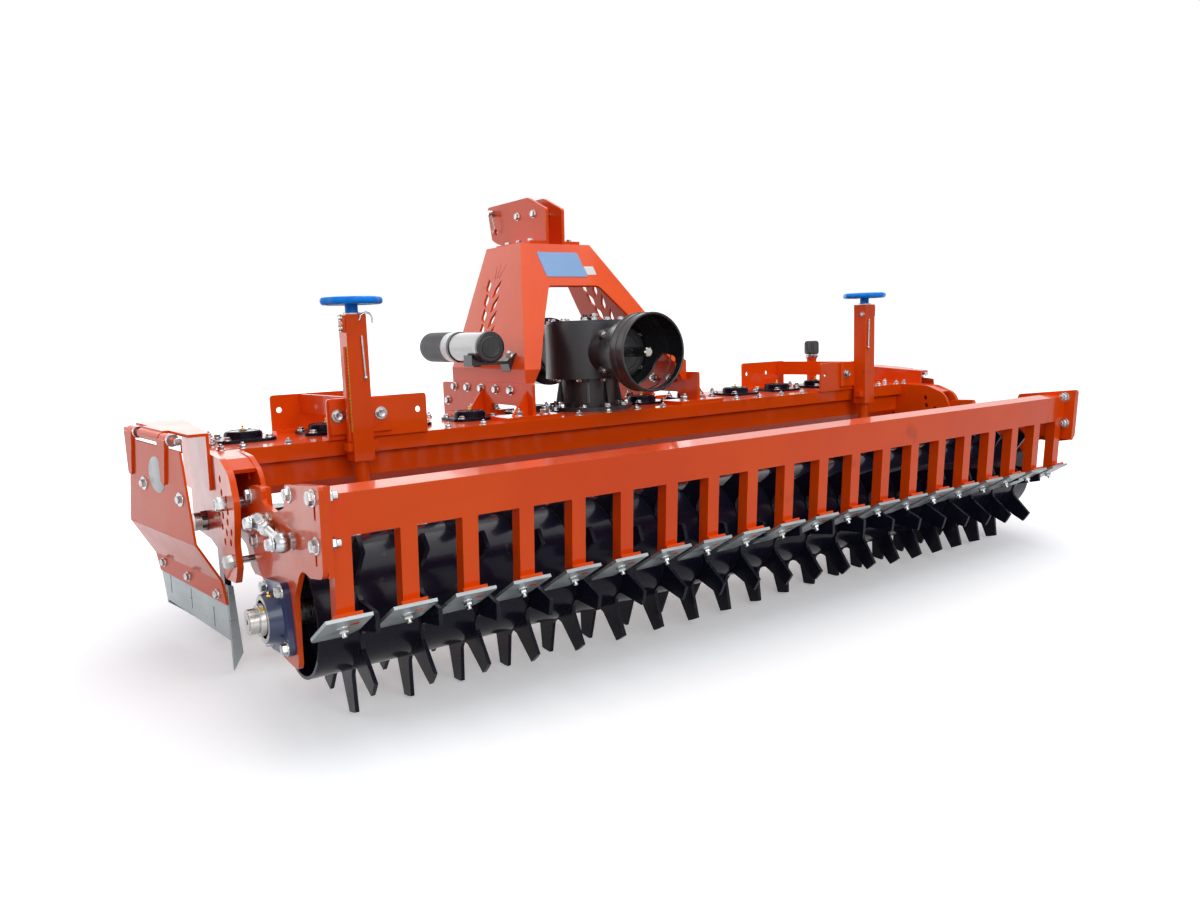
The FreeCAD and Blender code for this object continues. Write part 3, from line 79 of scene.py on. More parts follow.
# quads over a grid of points (rows, cols, 3) that closes both ways, as a ring does
def closedGrid(points):
    rows, cols = points.shape[:2]
    r, c = np.arange(rows)[:, None], np.arange(cols)[None, :]
    s, d = (r + 1) % rows, (c + 1) % cols
    faces = np.stack([r * cols + c, s * cols + c, s * cols + d, r * cols + d], -1)
    return points.reshape(-1, 3), [faces.reshape(-1, 4)]


# columns of height, radius and share from rows that may leave the share out
def profile(rows):
    rows = np.array([list(r) + [0.0] * (3 - len(r)) for r in rows], float)
    return rows[:, 0:1], rows[:, 1:2], rows[:, 2:3]


# rings about z at a column of heights, with a radius for each row and each angle
def spun(heights, radii):
    t = turns(radii.shape[1])
    return closedTube(np.stack([radii * np.cos(t), radii * np.sin(t), heights + 0 * t], -1))


# profile rows (height, radius, share of hexagon) carried round z:
# radius = r (1 - share) + r share / cos(angle from the nearest flat)
def turned(rows, steps=12):
    h, r, k = profile(rows)
    t = turns(steps)
    flat = np.cos((t + pi / 6) % (pi / 3) - pi / 6)
    return spun(h, r * (1 - k + k / flat))


# right-handed frames whose third column is each axis, spun about it by each angle
def axisFrames(axes, spins):
    z = np.asarray(axes, float).reshape(-1, 3)
    z = z / np.linalg.norm(z, axis=1, keepdims=True)
    guide = np.where(np.abs(z[:, 2:3]) > 0.9, [[1.0, 0, 0]], [[0, 0, 1.0]])
    x = np.cross(guide, z)
    x = x / np.linalg.norm(x, axis=1, keepdims=True)
    y = np.cross(z, x)
    c, s = np.cos(spins)[:, None], np.sin(spins)[:, None]
    return np.stack([x * c + y * s, y * c - x * s, z], -1)


# one shape at many places, its z axis along the given axes, spun by a steady step
def copies(shape, places, axes=(0, 0, 1), spin=2.4):
    points, faces = shape
    places = np.asarray(places, float).reshape(-1, 3)
    n, v = len(places), len(points)
    frames = axisFrames(np.broadcast_to(np.asarray(axes, float), (n, 3)), spin * np.arange(n))
    moved = np.einsum("nij,vj->nvi", frames, points) + places[:, None]
    shift = (np.arange(n) * v)[:, None, None]
    return moved.reshape(-1, 3), [(f[None] + shift).reshape(-1, f.shape[1]) for f in faces]


# a circle of given radius at each point of a path, square to the path there
def alongPath(path, radius, steps=8):
    path = np.asarray(path, float)
    way = np.gradient(path, axis=0)
    way = way / np.linalg.norm(way, axis=1, keepdims=True)
    guide = np.array([0.31, 0.17, 0.93]) if abs(way[:, 2]).mean() < 0.8 else np.array([1, 0.2, 0])
    side = np.cross(way, guide)
    side = side / np.linalg.norm(side, axis=1, keepdims=True)
    up = np.cross(side, way)
    t = -turns(steps)
    r = np.broadcast_to(np.asarray(radius, float), (len(path),))[:, None, None]
    rings = path[:, None] + r * (side[:, None] * np.cos(t)[:, None]
                                 + up[:, None] * np.sin(t)[:, None])
    return closedTube(rings)


# a flat outline raised from low to high along z, its upper edge drawn in by bevel
def slab(outline, low, high, bevel=1.0):
    outline = np.asarray(outline, float)
    inward = outline - outline.mean(0)
    inward = inward / np.linalg.norm(inward, axis=1, keepdims=True)
    tight = outline - inward * bevel
    rings = np.stack([np.column_stack([o, np.full(len(o), h)]) for o, h in
                      ((outline, low), (outline, high - bevel), (tight, high))])
    return closedTube(rings)


# rectangle with rounded corners: each quarter is an arc about its own corner centre
def roundedBox(halfU, halfV, corner, steps=24):
    t = (np.arange(steps) + 0.5) * 2 * pi / steps
    u = np.sign(np.cos(t)) * (halfU - corner) + corner * np.cos(t)
    v = np.sign(np.sin(t)) * (halfV - corner) + corner * np.sin(t)
    return np.column_stack([u, v])


# a shape after a 3 by 3 turn and a shift
def moved(shape, turn=None, by=(0, 0, 0)):
    points, faces = shape
    if turn is not None:
        points = points @ np.asarray(turn, float).T
    return points + np.asarray(by, float), faces


# a shape turned nose down with the trough
def leaned(shape):
    return lean(shape[0]), shape[1]


# a shape's image across a plane of constant x, its faces turned to stay outward
def mirrored(shape, planeX=0.0):
    points = shape[0] * [-1, 1, 1] + [2 * planeX, 0, 0]
    return points, [f[:, ::-1] for f in shape[1]]


# a shape with its faces turned to look the other way
def insideOut(shape):
    return shape[0], [f[:, ::-1] for f in shape[1]]


# each shape followed by its image across the middle of the machine
def bothSides(*shapes):
    return [y for x in shapes for y in (x, mirrored(x))]


sharpAngle = 38.0       # degrees between two faces past which their edge stays sharp


# an object in the scene that shows the given data
def added(name, data):
    made = bpy.data.objects.new(name, data)
    bpy.context.scene.collection.objects.link(made)
    return made


# joins shapes in millimetres into one mesh in metres that rides on a body
def makePiece(name, shapes, body, material):
    points, faces, start = [], [], 0
    for p, fs in shapes:
        points.append(p)
        faces += [row for f in fs for row in (f + start).tolist()]
        start += len(p)
    mesh = bpy.data.meshes.new(name)
    mesh.from_pydata((np.concatenate(points) * mm).tolist(), [], faces)
    mesh.validate()
    mesh.shade_smooth()
    mesh.set_sharp_from_angle(angle=radians(sharpAngle))
    mesh.materials.append(material)
    piece = added(name, mesh)
    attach(piece, body)
    return piece


# a node with its properties set, and its inputs too, _ standing for a space in a name
def addNode(tree, kind, **values):
    n = tree.nodes.new(kind)
    for key, value in values.items():
        if hasattr(n, key):
            setattr(n, key, value)
        else:
            n.inputs[key.replace("_", " ")].default_value = value
    return n


# principled surface on object coordinates: two tones mixed by broad noise, speckle and streaks
# in roughness, a height of fine grain, and a lighter edge colour where the rounded normal departs
# from the flat one, which is wear on the steel and the dark paints and a painted highlight on the
# orange paint
def finish(name, look):
    mat = bpy.data.materials.new(name)
    mat.use_nodes = True
    tree = mat.node_tree
    tree.nodes.clear()
    link = tree.links.new

    def node(kind, **values):
        return addNode(tree, kind, **values)

    # noise on object coordinates, shifted by seed and stretched along the axes
    def noise(scale, detail=3.0, stretch=None, seed=0.0):
        shape = node("ShaderNodeMapping")
        shape.inputs["Location"].default_value = (seed, seed * 0.7, -seed)
        if stretch:
            shape.inputs["Scale"].default_value = stretch
        link(coords.outputs["Object"], shape.inputs["Vector"])
        n = node("ShaderNodeTexNoise", Scale=scale, Detail=detail, Roughness=0.55)
        link(shape.outputs[0], n.inputs["Vector"])
        return n.outputs["Fac"]

    # to0 + (to1 - to0) (value - low) / (high - low), held between to0 and to1
    def ranged(value, low, high, to0, to1):
        n = node("ShaderNodeMapRange", From_Min=low, From_Max=high, To_Min=to0, To_Max=to1)
        link(value, n.inputs["Value"])
        return n.outputs["Result"]

    # a (1 - factor) + b factor, each a colour or a socket
    def mixed(factor, a, b):
        n = node("ShaderNodeMix", data_type="RGBA")
        link(factor, n.inputs["Factor"])
        for v, socket in ((a, n.inputs[6]), (b, n.inputs[7])):
            if isinstance(v, tuple):
                socket.default_value = v + (1.0,)
            else:
                link(v, socket)
        return n.outputs[2]

    coords = node("ShaderNodeTexCoord")
    shader = node("ShaderNodeBsdfPrincipled")
    out = node("ShaderNodeOutputMaterial")
    link(shader.outputs[0], out.inputs[0])
    broad = ranged(noise(look.get("toneScale", 4.0), 4.0), 0.35, 0.65, 0.0, 1.0)
    colour = mixed(broad, look["colour"], look.get("second", look["colour"]))
    if "speck" in look:
        speck = ranged(noise(look["speckScale"], 2.0, seed=3.1), *look["speckRange"], 0.0,
                       look.get("speckShare", 0.6))
        colour = mixed(speck, colour, look["speck"])
    spread = look.get("roughSpread", 0.05)
    rough = ranged(noise(look.get("roughScale", 14.0), 4.0, look.get("streak"), 7.7), 0.3, 0.7,
                   look["roughness"] - spread, look["roughness"] + spread)
    rounded = node("ShaderNodeBevel", samples=4, Radius=look.get("edgeRound", 1.2) * mm)
    if "edge" in look:
        soft = node("ShaderNodeBevel", samples=4, Radius=look.get("edgeWidth", 3.0) * mm)
        geometry = node("ShaderNodeNewGeometry")
        dot = node("ShaderNodeVectorMath", operation="DOT_PRODUCT")
        link(soft.outputs[0], dot.inputs[0])
        link(geometry.outputs["Normal"], dot.inputs[1])
        # edge mask: wear on the steel and the dark paints, a painted highlight on the orange paint
        wearAndHighlightEdge = ranged(dot.outputs["Value"], 0.97, 0.8, 0.0, 1.0)
        patchy = ranged(noise(look.get("wearScale", 60.0), 4.0, seed=1.3), 0.42, 0.62, 0.0, 1.0)
        both = node("ShaderNodeMath", operation="MULTIPLY")
        link(wearAndHighlightEdge, both.inputs[0])
        link(patchy, both.inputs[1])
        colour = mixed(both.outputs[0], colour, look["edge"])
    bump = node("ShaderNodeBump", Strength=look.get("bumpStrength", 0.35))
    bump.inputs["Distance"].default_value = look.get("bumpHeight", 0.08) * mm
    link(noise(look["grain"], seed=5.5), bump.inputs["Height"])
    link(rounded.outputs[0], bump.inputs["Normal"])
    link(bump.outputs[0], shader.inputs["Normal"])
    link(colour, shader.inputs["Base Color"])
    link(rough, shader.inputs["Roughness"])
    for socket, key, usual in (("Metallic", "metallic", 0.0), ("Coat Weight", "coat", 0.0),
                               ("Coat Roughness", "coatRoughness", 0.06),
                               ("Coat IOR", "coatIor", 1.5), ("IOR", "ior", 1.5)):
        shader.inputs[socket].default_value = look.get(key, usual)
    mat.diffuse_color = look["colour"] + (1.0,)
    return mat


looks = {
    "orangePaint": {
        "colour": (0.86, 0.084, 0.001), "second": (0.78, 0.064, 0.001), "toneScale": 2.2,
        "roughness": 0.34, "roughSpread": 0.06, "roughScale": 9.0, "coat": 0.8,
        "coatRoughness": 0.07, "coatIor": 1.2, "ior": 1.2, "grain": 170.0, "bumpHeight": 0.25,
        # edge colour: a lighter orange along the edges, in part a painted highlight and in part
        # thin paint over the edges
        "bumpStrength": 0.22, "edge": (0.86, 0.16, 0.02), "edgeWidth": 2.5, "wearScale": 45.0,
        "speck": (0.30, 0.02, 0.004), "speckScale": 7.0, "speckRange": (0.66, 0.74),
        "speckShare": 0.35},
    "blackPaint": {
        "colour": (0.006, 0.006, 0.016), "second": (0.009, 0.008, 0.018), "toneScale": 5.0,
        "roughness": 0.24, "roughSpread": 0.08, "roughScale": 18.0, "coat": 0.3,
        "coatRoughness": 0.06, "coatIor": 1.2, "ior": 1.2, "grain": 120.0, "bumpHeight": 0.3,
        "bumpStrength": 0.25, "edge": (0.10, 0.095, 0.09), "edgeWidth": 2.0,
        "speck": (0.10, 0.075, 0.06), "speckScale": 30.0, "speckRange": (0.68, 0.78),
        "speckShare": 0.4},
    "gearboxPaint": {
        "colour": (0.012, 0.012, 0.016), "second": (0.02, 0.02, 0.024), "toneScale": 9.0,
        "roughness": 0.42, "roughSpread": 0.08, "coat": 0.25, "coatRoughness": 0.25,
        "grain": 420.0, "bumpHeight": 0.5, "bumpStrength": 0.5, "edge": (0.06, 0.06, 0.06)},
    "blackPlastic": {
        "colour": (0.013, 0.013, 0.015), "second": (0.017, 0.017, 0.02), "roughness": 0.28,
        "roughSpread": 0.07, "grain": 900.0, "bumpHeight": 0.05},
    "navyPaint": {
        "colour": (0.006, 0.022, 0.105), "second": (0.004, 0.016, 0.08), "roughness": 0.34,
        "coat": 0.4, "coatRoughness": 0.15, "grain": 300.0, "bumpHeight": 0.35,
        "bumpStrength": 0.4, "edge": (0.03, 0.08, 0.22)},
    "zincSteel": {
        "colour": (0.50, 0.52, 0.54), "second": (0.38, 0.39, 0.40), "toneScale": 60.0,
        "metallic": 1.0, "roughness": 0.26, "roughSpread": 0.08, "roughScale": 120.0,
        "grain": 700.0, "bumpHeight": 0.05, "edgeRound": 0.5, "speck": (0.60, 0.50, 0.30),
        "speckScale": 45.0, "speckRange": (0.55, 0.7), "speckShare": 0.45},
    "bareSteel": {
        "colour": (0.46, 0.45, 0.43), "second": (0.36, 0.35, 0.33), "toneScale": 18.0,
        "metallic": 1.0, "roughness": 0.30, "roughSpread": 0.1, "roughScale": 40.0,
        "streak": (14.0, 1.0, 1.0), "grain": 500.0, "bumpHeight": 0.06,
        "speck": (0.25, 0.16, 0.10), "speckScale": 60.0, "speckRange": (0.66, 0.75),
        "speckShare": 0.4},
    "wearSteel": {
        "colour": (0.46, 0.50, 0.50), "second": (0.36, 0.40, 0.41), "toneScale": 7.0,
        "metallic": 0.55, "roughness": 0.38, "roughSpread": 0.12, "roughScale": 12.0,
        "streak": (1.0, 1.0, 9.0), "grain": 260.0, "bumpHeight": 0.15, "edge": (0.62, 0.63, 0.64),
        "edgeWidth": 2.5, "wearScale": 30.0},
    "silverTube": {
        "colour": (0.30, 0.30, 0.30), "second": (0.25, 0.25, 0.25), "toneScale": 6.0,
        "metallic": 0.8, "roughness": 0.30, "roughSpread": 0.06, "roughScale": 30.0,
        "streak": (1.0, 0.06, 1.0), "coat": 0.3, "grain": 400.0, "bumpHeight": 0.05,
        "speck": (0.52, 0.46, 0.38), "speckScale": 16.0, "speckRange": (0.62, 0.75),
        "speckShare": 0.35},
    "bluePlastic": {
        "colour": (0.001, 0.27, 0.95), "second": (0.001, 0.23, 0.86), "toneScale": 12.0,
        "roughness": 0.42, "roughSpread": 0.08, "grain": 800.0, "ior": 1.3, "bumpHeight": 0.08},
    "brass": {
        "colour": (0.72, 0.48, 0.14), "second": (0.60, 0.38, 0.10), "toneScale": 90.0,
        "metallic": 1.0, "roughness": 0.28, "grain": 900.0, "bumpHeight": 0.03, "edgeRound": 0.3},
    "paleSticker": {
        "colour": (0.70, 0.72, 0.71), "second": (0.64, 0.67, 0.66), "roughness": 0.35,
        "grain": 500.0, "bumpHeight": 0.02, "edgeRound": 0.2},
    "bluePlate": {
        "colour": (0.16, 0.34, 0.62), "second": (0.15, 0.31, 0.57), "roughness": 0.32,
        "grain": 500.0, "bumpHeight": 0.02, "edgeRound": 0.2},
    "scaleYellow": {
        "colour": (0.75, 0.50, 0.03), "second": (0.68, 0.44, 0.03), "roughness": 0.4,
        "grain": 500.0, "bumpHeight": 0.03, "edgeRound": 0.2},
}
mats = {name: finish(name, look) for name, look in looks.items()}

nodeLooks = {
    "orangePaint": [
        "gear_trough", "sector_plates", "roller_side_frames", "scraper_beam", "headstock",
        "headstock_feet", "top_link_bracket", "spindle_posts", "cross_brackets", "levelling_bar",
        "shield_brackets", "side_shield_left", "side_shield_right"],
    "blackPaint": ["bearing_caps", "roller_drum"] + ["rotor_%02d" % (i + 1) for i in range(12)],
    "gearboxPaint": ["gearbox"],
    "blackPlastic": ["pto_guard_rear", "pto_guard_front", "oil_filler", "document_tube_bracket"],
    "navyPaint": ["roller_bearings"],
    "zincSteel": ["stop_pins", "scraper_adjusters", "top_link_pin"],
    "bareSteel": ["roller_shaft", "pto_shaft", "arm_pivot_pins"],
    "wearSteel": ["scraper_blades", "shield_wear_plate_left", "shield_wear_plate_right"],
    "silverTube": ["document_tube"],
    "bluePlastic": ["handwheels"],
}
for look, names in nodeLooks.items():
    for name in names:
        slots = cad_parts[name].material_slots
        for i in range(len(slots)):
            slots[i].material = mats[look]
        if not slots:
            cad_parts[name].data.materials.append(mats[look])
missed = set(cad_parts) - {n for names in nodeLooks.values() for n in names}
print("materials on the frame, left over:", sorted(missed))


# a piece in one of the looks, whose material it takes
def put(name, shapes, body, look):
    return makePiece(name, shapes, body, mats[look])


# the same, for shapes that lean with the trough
def putLeaned(name, shapes, look, body="chassis"):
    return put(name, [leaned(x) for x in shapes], body, look)


# the ways that fasteners face
leftward, rightward, rearward, forward = (-1, 0, 0), (1, 0, 0), (0, -1, 0), (0, 1, 0)


# washer, hexagon and a chamfered crown with a shallow dish
def bolt(flats, head, washer=1.35, thick=2.5):
    a, w = flats / 2, flats / 2 * washer + 1.5
    top = thick + head
    return turned([(0, w), (thick * 0.7, w), (thick, w - 0.6), (thick, a, 1),
                   (thick + head * 0.82, a, 1), (top, a * 0.93, 0.25), (top, a * 0.72),
                   (top - 0.6, a * 0.6)])


# washer, hexagon with both ends chamfered, and the end of the screw through it
def nut(flats, head, stud, reach, washer=1.35, thick=2.5):
    a, w = flats / 2, flats / 2 * washer + 1.5
    top = thick + head
    return turned([(0, w), (thick * 0.7, w), (thick, w - 0.6), (thick, a * 0.95, 0.3),
                   (thick + head * 0.15, a, 1), (thick + head * 0.85, a, 1),
                   (top, a * 0.93, 0.25), (top, stud), (top + reach - 1.2, stud),
                   (top + reach, stud - 1.4)])


# copies of a shape on the upright plane at x, at pairs of y and z
def sideways(shape, x, pairs, axis=rightward):
    return copies(shape, [(x, *p) for p in pairs], axis)


# hexagon foot, waist and rounded ball
greaseNipple = turned([(0, 5.5, 1), (4.5, 5.5, 1), (5.5, 4.2), (7, 2.6), (9, 2.4), (10, 3.4),
                       (12, 3.8), (14, 3.0), (15, 1.4)])

# bolts and nipples of the gear trough
trough = {"boltPitch": 124.2, "bolts": 24, "rearRow": -47.0, "frontRow": 369.0, "top": 586.0,
          "boltFlats": 17.0, "capBolt": 60.0, "capThick": 9.0, "crownFoot": 611.5,
          "nippleFoot": 616.5, "endX": 1486.0, "endRows": (-47, 57, 161, 265, 369),
          "footSpan": (262, 482), "postSpan": (886, 1200)}


# which values lie between the two ends of a span
def within(values, span):
    return (values > span[0]) & (values < span[1])


xs = trough["boltPitch"] * (np.arange(trough["bolts"]) - (trough["bolts"] - 1) / 2)
underFoot = within(np.abs(xs - headX), trough["footSpan"])
underPost = within(np.abs(xs), trough["postSpan"])
spots = [(x, trough["rearRow"], trough["top"]) for x in xs[~underFoot & ~underPost]]
spots += [(x, trough["frontRow"], trough["top"]) for x in xs[~underFoot]]
spots += [(s * trough["endX"], y, trough["top"]) for s in (1, -1) for y in trough["endRows"]]
putLeaned("coverBolts", [copies(nut(trough["boltFlats"], 9, 4.6, 6), spots)], "zincSteel")

c = trough["capBolt"]
spots = [(x + u, rotorLine + v, trough["top"] + trough["capThick"]) for x in capCentres
         for u, v in ((c, c), (-c, c), (-c, -c), (c, -c))]
putLeaned("capBolts", [copies(bolt(trough["boltFlats"], 7), spots)], "zincSteel")
crown = turned([(0, 50), (3.2, 50), (4.2, 48.5), (4.2, 42), (3.0, 40.5), (3.0, 13), (4.5, 12),
                (5.5, 9)], 48)
for name, shape, height, look in (("capCrowns", crown, trough["crownFoot"], "blackPaint"),
                                  ("capNipples", greaseNipple, trough["nippleFoot"], "brass")):
    putLeaned(name, [copies(shape, [(x, rotorLine, height) for x in capCentres])], look)
print("trough bolts, cap bolts, crowns and nipples")

# oil filler
filler = {"x": 1237.0, "y": 284.0, "top": 790.0, "flutes": 24, "flute": 1.3, "radius": 33.0,
          "capFoot": 728.0}


# radius at angle t = R + flute cos(flutes t), faded out at the rim and the foot
def flutedCap(steps=120):
    t = turns(steps)
    radius, low, high = filler["radius"], filler["capFoot"], filler["top"]
    h, r, k = profile([(low, radius - 3), (low + 3, radius), (low + 9, radius),
                       (low + 11, radius - 1, 1), (high - 10, radius - 1.5, 1),
                       (high - 5, radius - 3, 0.4), (high - 1, radius - 6),
                       (high, radius - 10), (high - 1.5, radius - 15)])
    return spun(h, r + filler["flute"] * k * np.cos(filler["flutes"] * t))


at = (filler["x"], filler["y"], 0)
capPiece = putLeaned("fillerCap", [moved(flutedCap(), by=at)], "blackPlastic")
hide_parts("oil_filler")
stub = turned([(586, 27), (588, 27), (590, 23), (708, 23), (708, 27), (713, 27)], 32)
putLeaned("fillerStub", [moved(stub, by=at)], "orangePaint")
ring = turned([(713, 30), (715, 31.5), (721, 31.5), (723, 29), (723, 27), (728, 27)], 36)
putLeaned("fillerRing", [moved(ring, by=at)], "zincSteel")

# headstock: bolts of the feet, the top and the cheeks
head = {"footFace": 370.0, "footInner": 348.0, "rowY": (529, 423, 313, 203, 98), "rowZ": 678.0,
        "lone": (590, 622), "boltFlats": 24.0, "base": 600.0,
        "baseBolts": ((-404, -8), (-312, -24), (-404, 322), (-312, 322)), "top": 1218.0,
        "topInset": 88.0, "topRows": (392, 480, 566), "cheek": 42.0,
        "cheekBolts": ((559, 1330), (436, 1327))}
row = [(y, head["rowZ"]) for y in head["rowY"]] + [head["lone"]]
outer = sideways(bolt(head["boltFlats"], 10), headX - head["footFace"], row, leftward)
inner = sideways(nut(head["boltFlats"], 11, 7.5, 6), headX - head["footInner"], row)
spots = [(headX + s * u, y, head["base"]) for s in (1, -1) for u, y in head["baseBolts"]]
putLeaned("footBolts", [outer, mirrored(outer, headX), inner, mirrored(inner, headX),
                        copies(nut(27, 14, 8.5, 9), spots)], "zincSteel")

spots = [(headX + s * head["topInset"], y, head["top"]) for s in (1, -1) for y in head["topRows"]]
shapes = [copies(bolt(19, 8), spots)]
for pair in head["cheekBolts"]:
    shapes += [sideways(bolt(22, 9), headX - head["cheek"], [pair], leftward),
               sideways(nut(22, 10, 7, 6), headX + head["cheek"], [pair]),
               sideways(turned([(0, 7.5), (60, 7.5)], 20), headX - 30, [pair])]
putLeaned("topLinkBolts", shapes, "zincSteel")
print("headstock bolts")

# gearbox: bolts and breather
gear = {"top": 911.0, "coverRing": 134.0, "flange": 600.0, "flangeRing": 140.0,
        "underside": 702.0, "bodyRing": 138.0, "bolts": 10, "neckFoot": 614.0, "ribs": 10,
        "nose": -60.0, "lugRing": 100.0, "lugTurns": (38, 142, 218, 322)}


# spots evenly round the gearbox, the first at the angle start
def ringSpots(radius, z, start):
    t = start + turns(gear["bolts"])
    return np.column_stack([headX + radius * np.cos(t), rotorLine + radius * np.sin(t),
                            np.full(gear["bolts"], z)])


putLeaned("gearboxBolts", [copies(bolt(17, 7), ringSpots(gear["coverRing"], gear["top"], 0.3)),
                           copies(bolt(19, 9), ringSpots(gear["flangeRing"], gear["flange"], 0.2)),
                           copies(bolt(17, 8), ringSpots(gear["bodyRing"], gear["underside"], 0.1),
                                  (0, 0, -1))], "zincSteel")
breather = turned([(0, 15, 1), (9, 15, 1), (10, 10), (14, 9), (15, 13, 1), (24, 13, 1), (26, 9),
                   (27, 5)], 24)
putLeaned("gearboxBreather", [moved(breather, by=(headX + 20, rotorLine - 20, gear["top"]))],
          "zincSteel")
print("gearbox fasteners")

# roller side frames and scraper: bolts, slots and welds
roller = {"axis": (-531.0, 262.0), "plate": 1482.0, "beamIn": 1458.0, "flange": 16.0,
          "boltHalf": 66.0, "boltTurn": -10.0, "bearing": 1528.0, "shaftEnd": 1562.0,
          "sideBolts": ((-305, 508), (-640, 574), (-804, 598), (-333, 400), (-812, 498)),
          "beamBolts": ((-804, 598), (-812, 498))}
axisY, axisZ = roller["axis"]
put("sideFrameBolts", bothSides(
    sideways(bolt(27, 11), roller["plate"], roller["sideBolts"]),
    sideways(nut(27, 13, 9, 12), roller["beamIn"], roller["beamBolts"], leftward)),
    "roller_frame", "zincSteel")
t = radians(roller["boltTurn"])
h = roller["boltHalf"]
corners = [(axisY + u * cos(t) - v * sin(t), axisZ + u * sin(t) + v * cos(t))
           for u, v in ((h, h), (-h, h), (-h, -h), (h, -h))]
put("bearingBolts", bothSides(sideways(bolt(24, 11), roller["plate"] + roller["flange"], corners)),
    "roller_frame", "zincSteel")

scraper = {"pitch": 150.0, "count": 20, "fall": 34.0, "rearEdge": (-826, 338), "underside": -8.0,
           "weld": (-806.5, 334.5)}
bladeX = scraper["pitch"] * (np.arange(scraper["count"]) - (scraper["count"] - 1) / 2)
bladeX = bladeX[:, None] * [1, 0, 0]
fall = radians(scraper["fall"])
under = (0, -sin(fall), -cos(fall))


# a spot under each blade, v down the slope from its rear edge and w square to it:
# y = edge y + v cos(fall) + w sin(fall), z = edge z - v sin(fall) + w cos(fall)
def bladeSpot(u, v):
    w = scraper["underside"]
    y, z = scraper["rearEdge"]
    return bladeX + [u, y + v * cos(fall) + w * sin(fall),
                     z - v * sin(fall) + w * cos(fall)]


put("scraperBolts", [copies(nut(19, 10, 6, 9), bladeSpot(0, 62), under)], "roller_frame",
    "zincSteel")
slot = slab(roundedBox(9, 7, 1.5, 16), 0, 0.8, 0.2)
put("scraperSlots", [copies(slot, bladeSpot(22, 42), under, spin=0)], "roller_frame",
    "orangePaint")
weld = alongPath([(-19, 0, 0), (-12, 0, 0.6), (-5, 0, -0.4), (3, 0, 0.5), (11, 0, -0.3),
                  (19, 0, 0)], [2.6, 3.6, 3.0, 3.7, 3.0, 2.4], 8)
put("postWelds", [moved(weld, by=at) for at in bladeX + [0, *scraper["weld"]]], "roller_frame",
    "orangePaint")
print("roller frame fasteners")

# side shields: plates, wear plates, stickers, bolts and hinge rings
# outlines are in y and z from the hinge line, before the toe angle is turned
shield = {"hinge": (1601.0, -71.0, 625.0), "toe": 13.0, "face": 14.0, "strip": -44.0,
          "thick": 6.0, "inner": 8.0, "rear": -20.0, "front": 312.0, "top": -20.0,
          "fold": -262.0, "topFlare": 27.0, "lowFlare": 75.0, "topBack": 50.0,
          "lower": 124.0, "turn": 28.0, "sleeve": 46.0, "sleeveStarts": (26.0, 238.0)}
toe, turn = radians(shield["toe"]), radians(shield["turn"])
toeTurn = [[cos(toe), sin(toe), 0], [-sin(toe), cos(toe), 0], [0, 0, 1]]
lowTurn = [[cos(turn), 0, sin(turn)], [0, 1, 0], [-sin(turn), 0, cos(turn)]]
toSide = np.column_stack([forward, (0, 0, 1), rightward])        # outline in y z, raised along x


# shapes turned by the toe angle and put on both shields; gives each side and its piece
def onShields(name, shapes, look):
    right = [moved(x, toeTurn, shield["hinge"]) for x in shapes]
    left = [mirrored(x) for x in right]
    return [(side, put(name + side.capitalize(), image, "shield_" + side, look))
            for side, image in (("right", right), ("left", left))]


# a plate of the shield's thickness on an outline, from x = low outward
def sheet(outline, low, bevel=0.8):
    return moved(slab(outline, low, low + shield["thick"], bevel), toSide)


# a plate on a grid of points, rows by columns: kept cells are faced on both sides, and a wall
# closes each edge between a kept cell and one that is missing
def piercedPlate(across, down, kept, low, high):
    rows, cols = across.shape
    count = rows * cols
    points = np.concatenate([np.stack([across, down, 0 * across + h], -1).reshape(-1, 3)
                             for h in (low, high)])
    faces = []
    inside = np.zeros((rows + 1, cols + 1), bool)
    inside[1:rows, 1:cols] = kept
    for r, c in np.argwhere(kept):
        a, b = r * cols + c, r * cols + c + 1
        d, e = a + cols, b + cols
        faces += [(d, e, b, a), (a + count, b + count, e + count, d + count)]
        around = ((a, b, inside[r, c + 1]), (b, e, inside[r + 1, c + 2]),
                  (e, d, inside[r + 2, c + 1]), (d, a, inside[r + 1, c]))
        faces += [(p, q, q + count, p + count) for p, q, solid in around if not solid]
    return points, [np.array(faces)]


front, thick, inner = shield["front"], shield["thick"], shield["inner"]
long, fold = shield["sleeve"], shield["fold"]
lowRear = shield["rear"] - shield["lowFlare"]
wearBack = lowRear - 28
stripX = inner - shield["lower"] * sin(turn)
stripZ = fold + 2 - shield["lower"] * cos(turn)
lower = sheet([(lowRear, 0), (lowRear - 4, -shield["lower"]), (front - 8, -shield["lower"]),
               (front, 0)], 0)
shapes = [sheet([(lowRear, fold), (front, fold), (front - shield["topBack"], shield["top"]),
                 (shield["rear"] - shield["topFlare"], shield["top"])], inner),
          moved(lower, lowTurn, (inner, 0, fold + 2)),
          sheet([(lowRear - 4, stripZ), (wearBack, stripZ - 63), (front - 32, stripZ - 50),
                 (front - 8, stripZ)], stripX)]
for y in shield["sleeveStarts"]:
    end = y + long
    shapes += [copies(turned([(0, 14), (1, 15), (long - 1, 15), (long, 14)], 36), [(0, y, 0)],
                      forward),
               sheet([(y, -40), (end, -40), (end, 4), (y, 4)], inner, 0.6),
               sheet([(y - 2, 2), (y + 18, -114), (y + 23, -121), (end - 9, -121),
                      (end - 4, -114), (end + 2, 2)], inner + thick, 1.2)]
for side, piece in onShields("shieldPlates", shapes, "orangePaint"):
    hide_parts("side_shield_" + side)

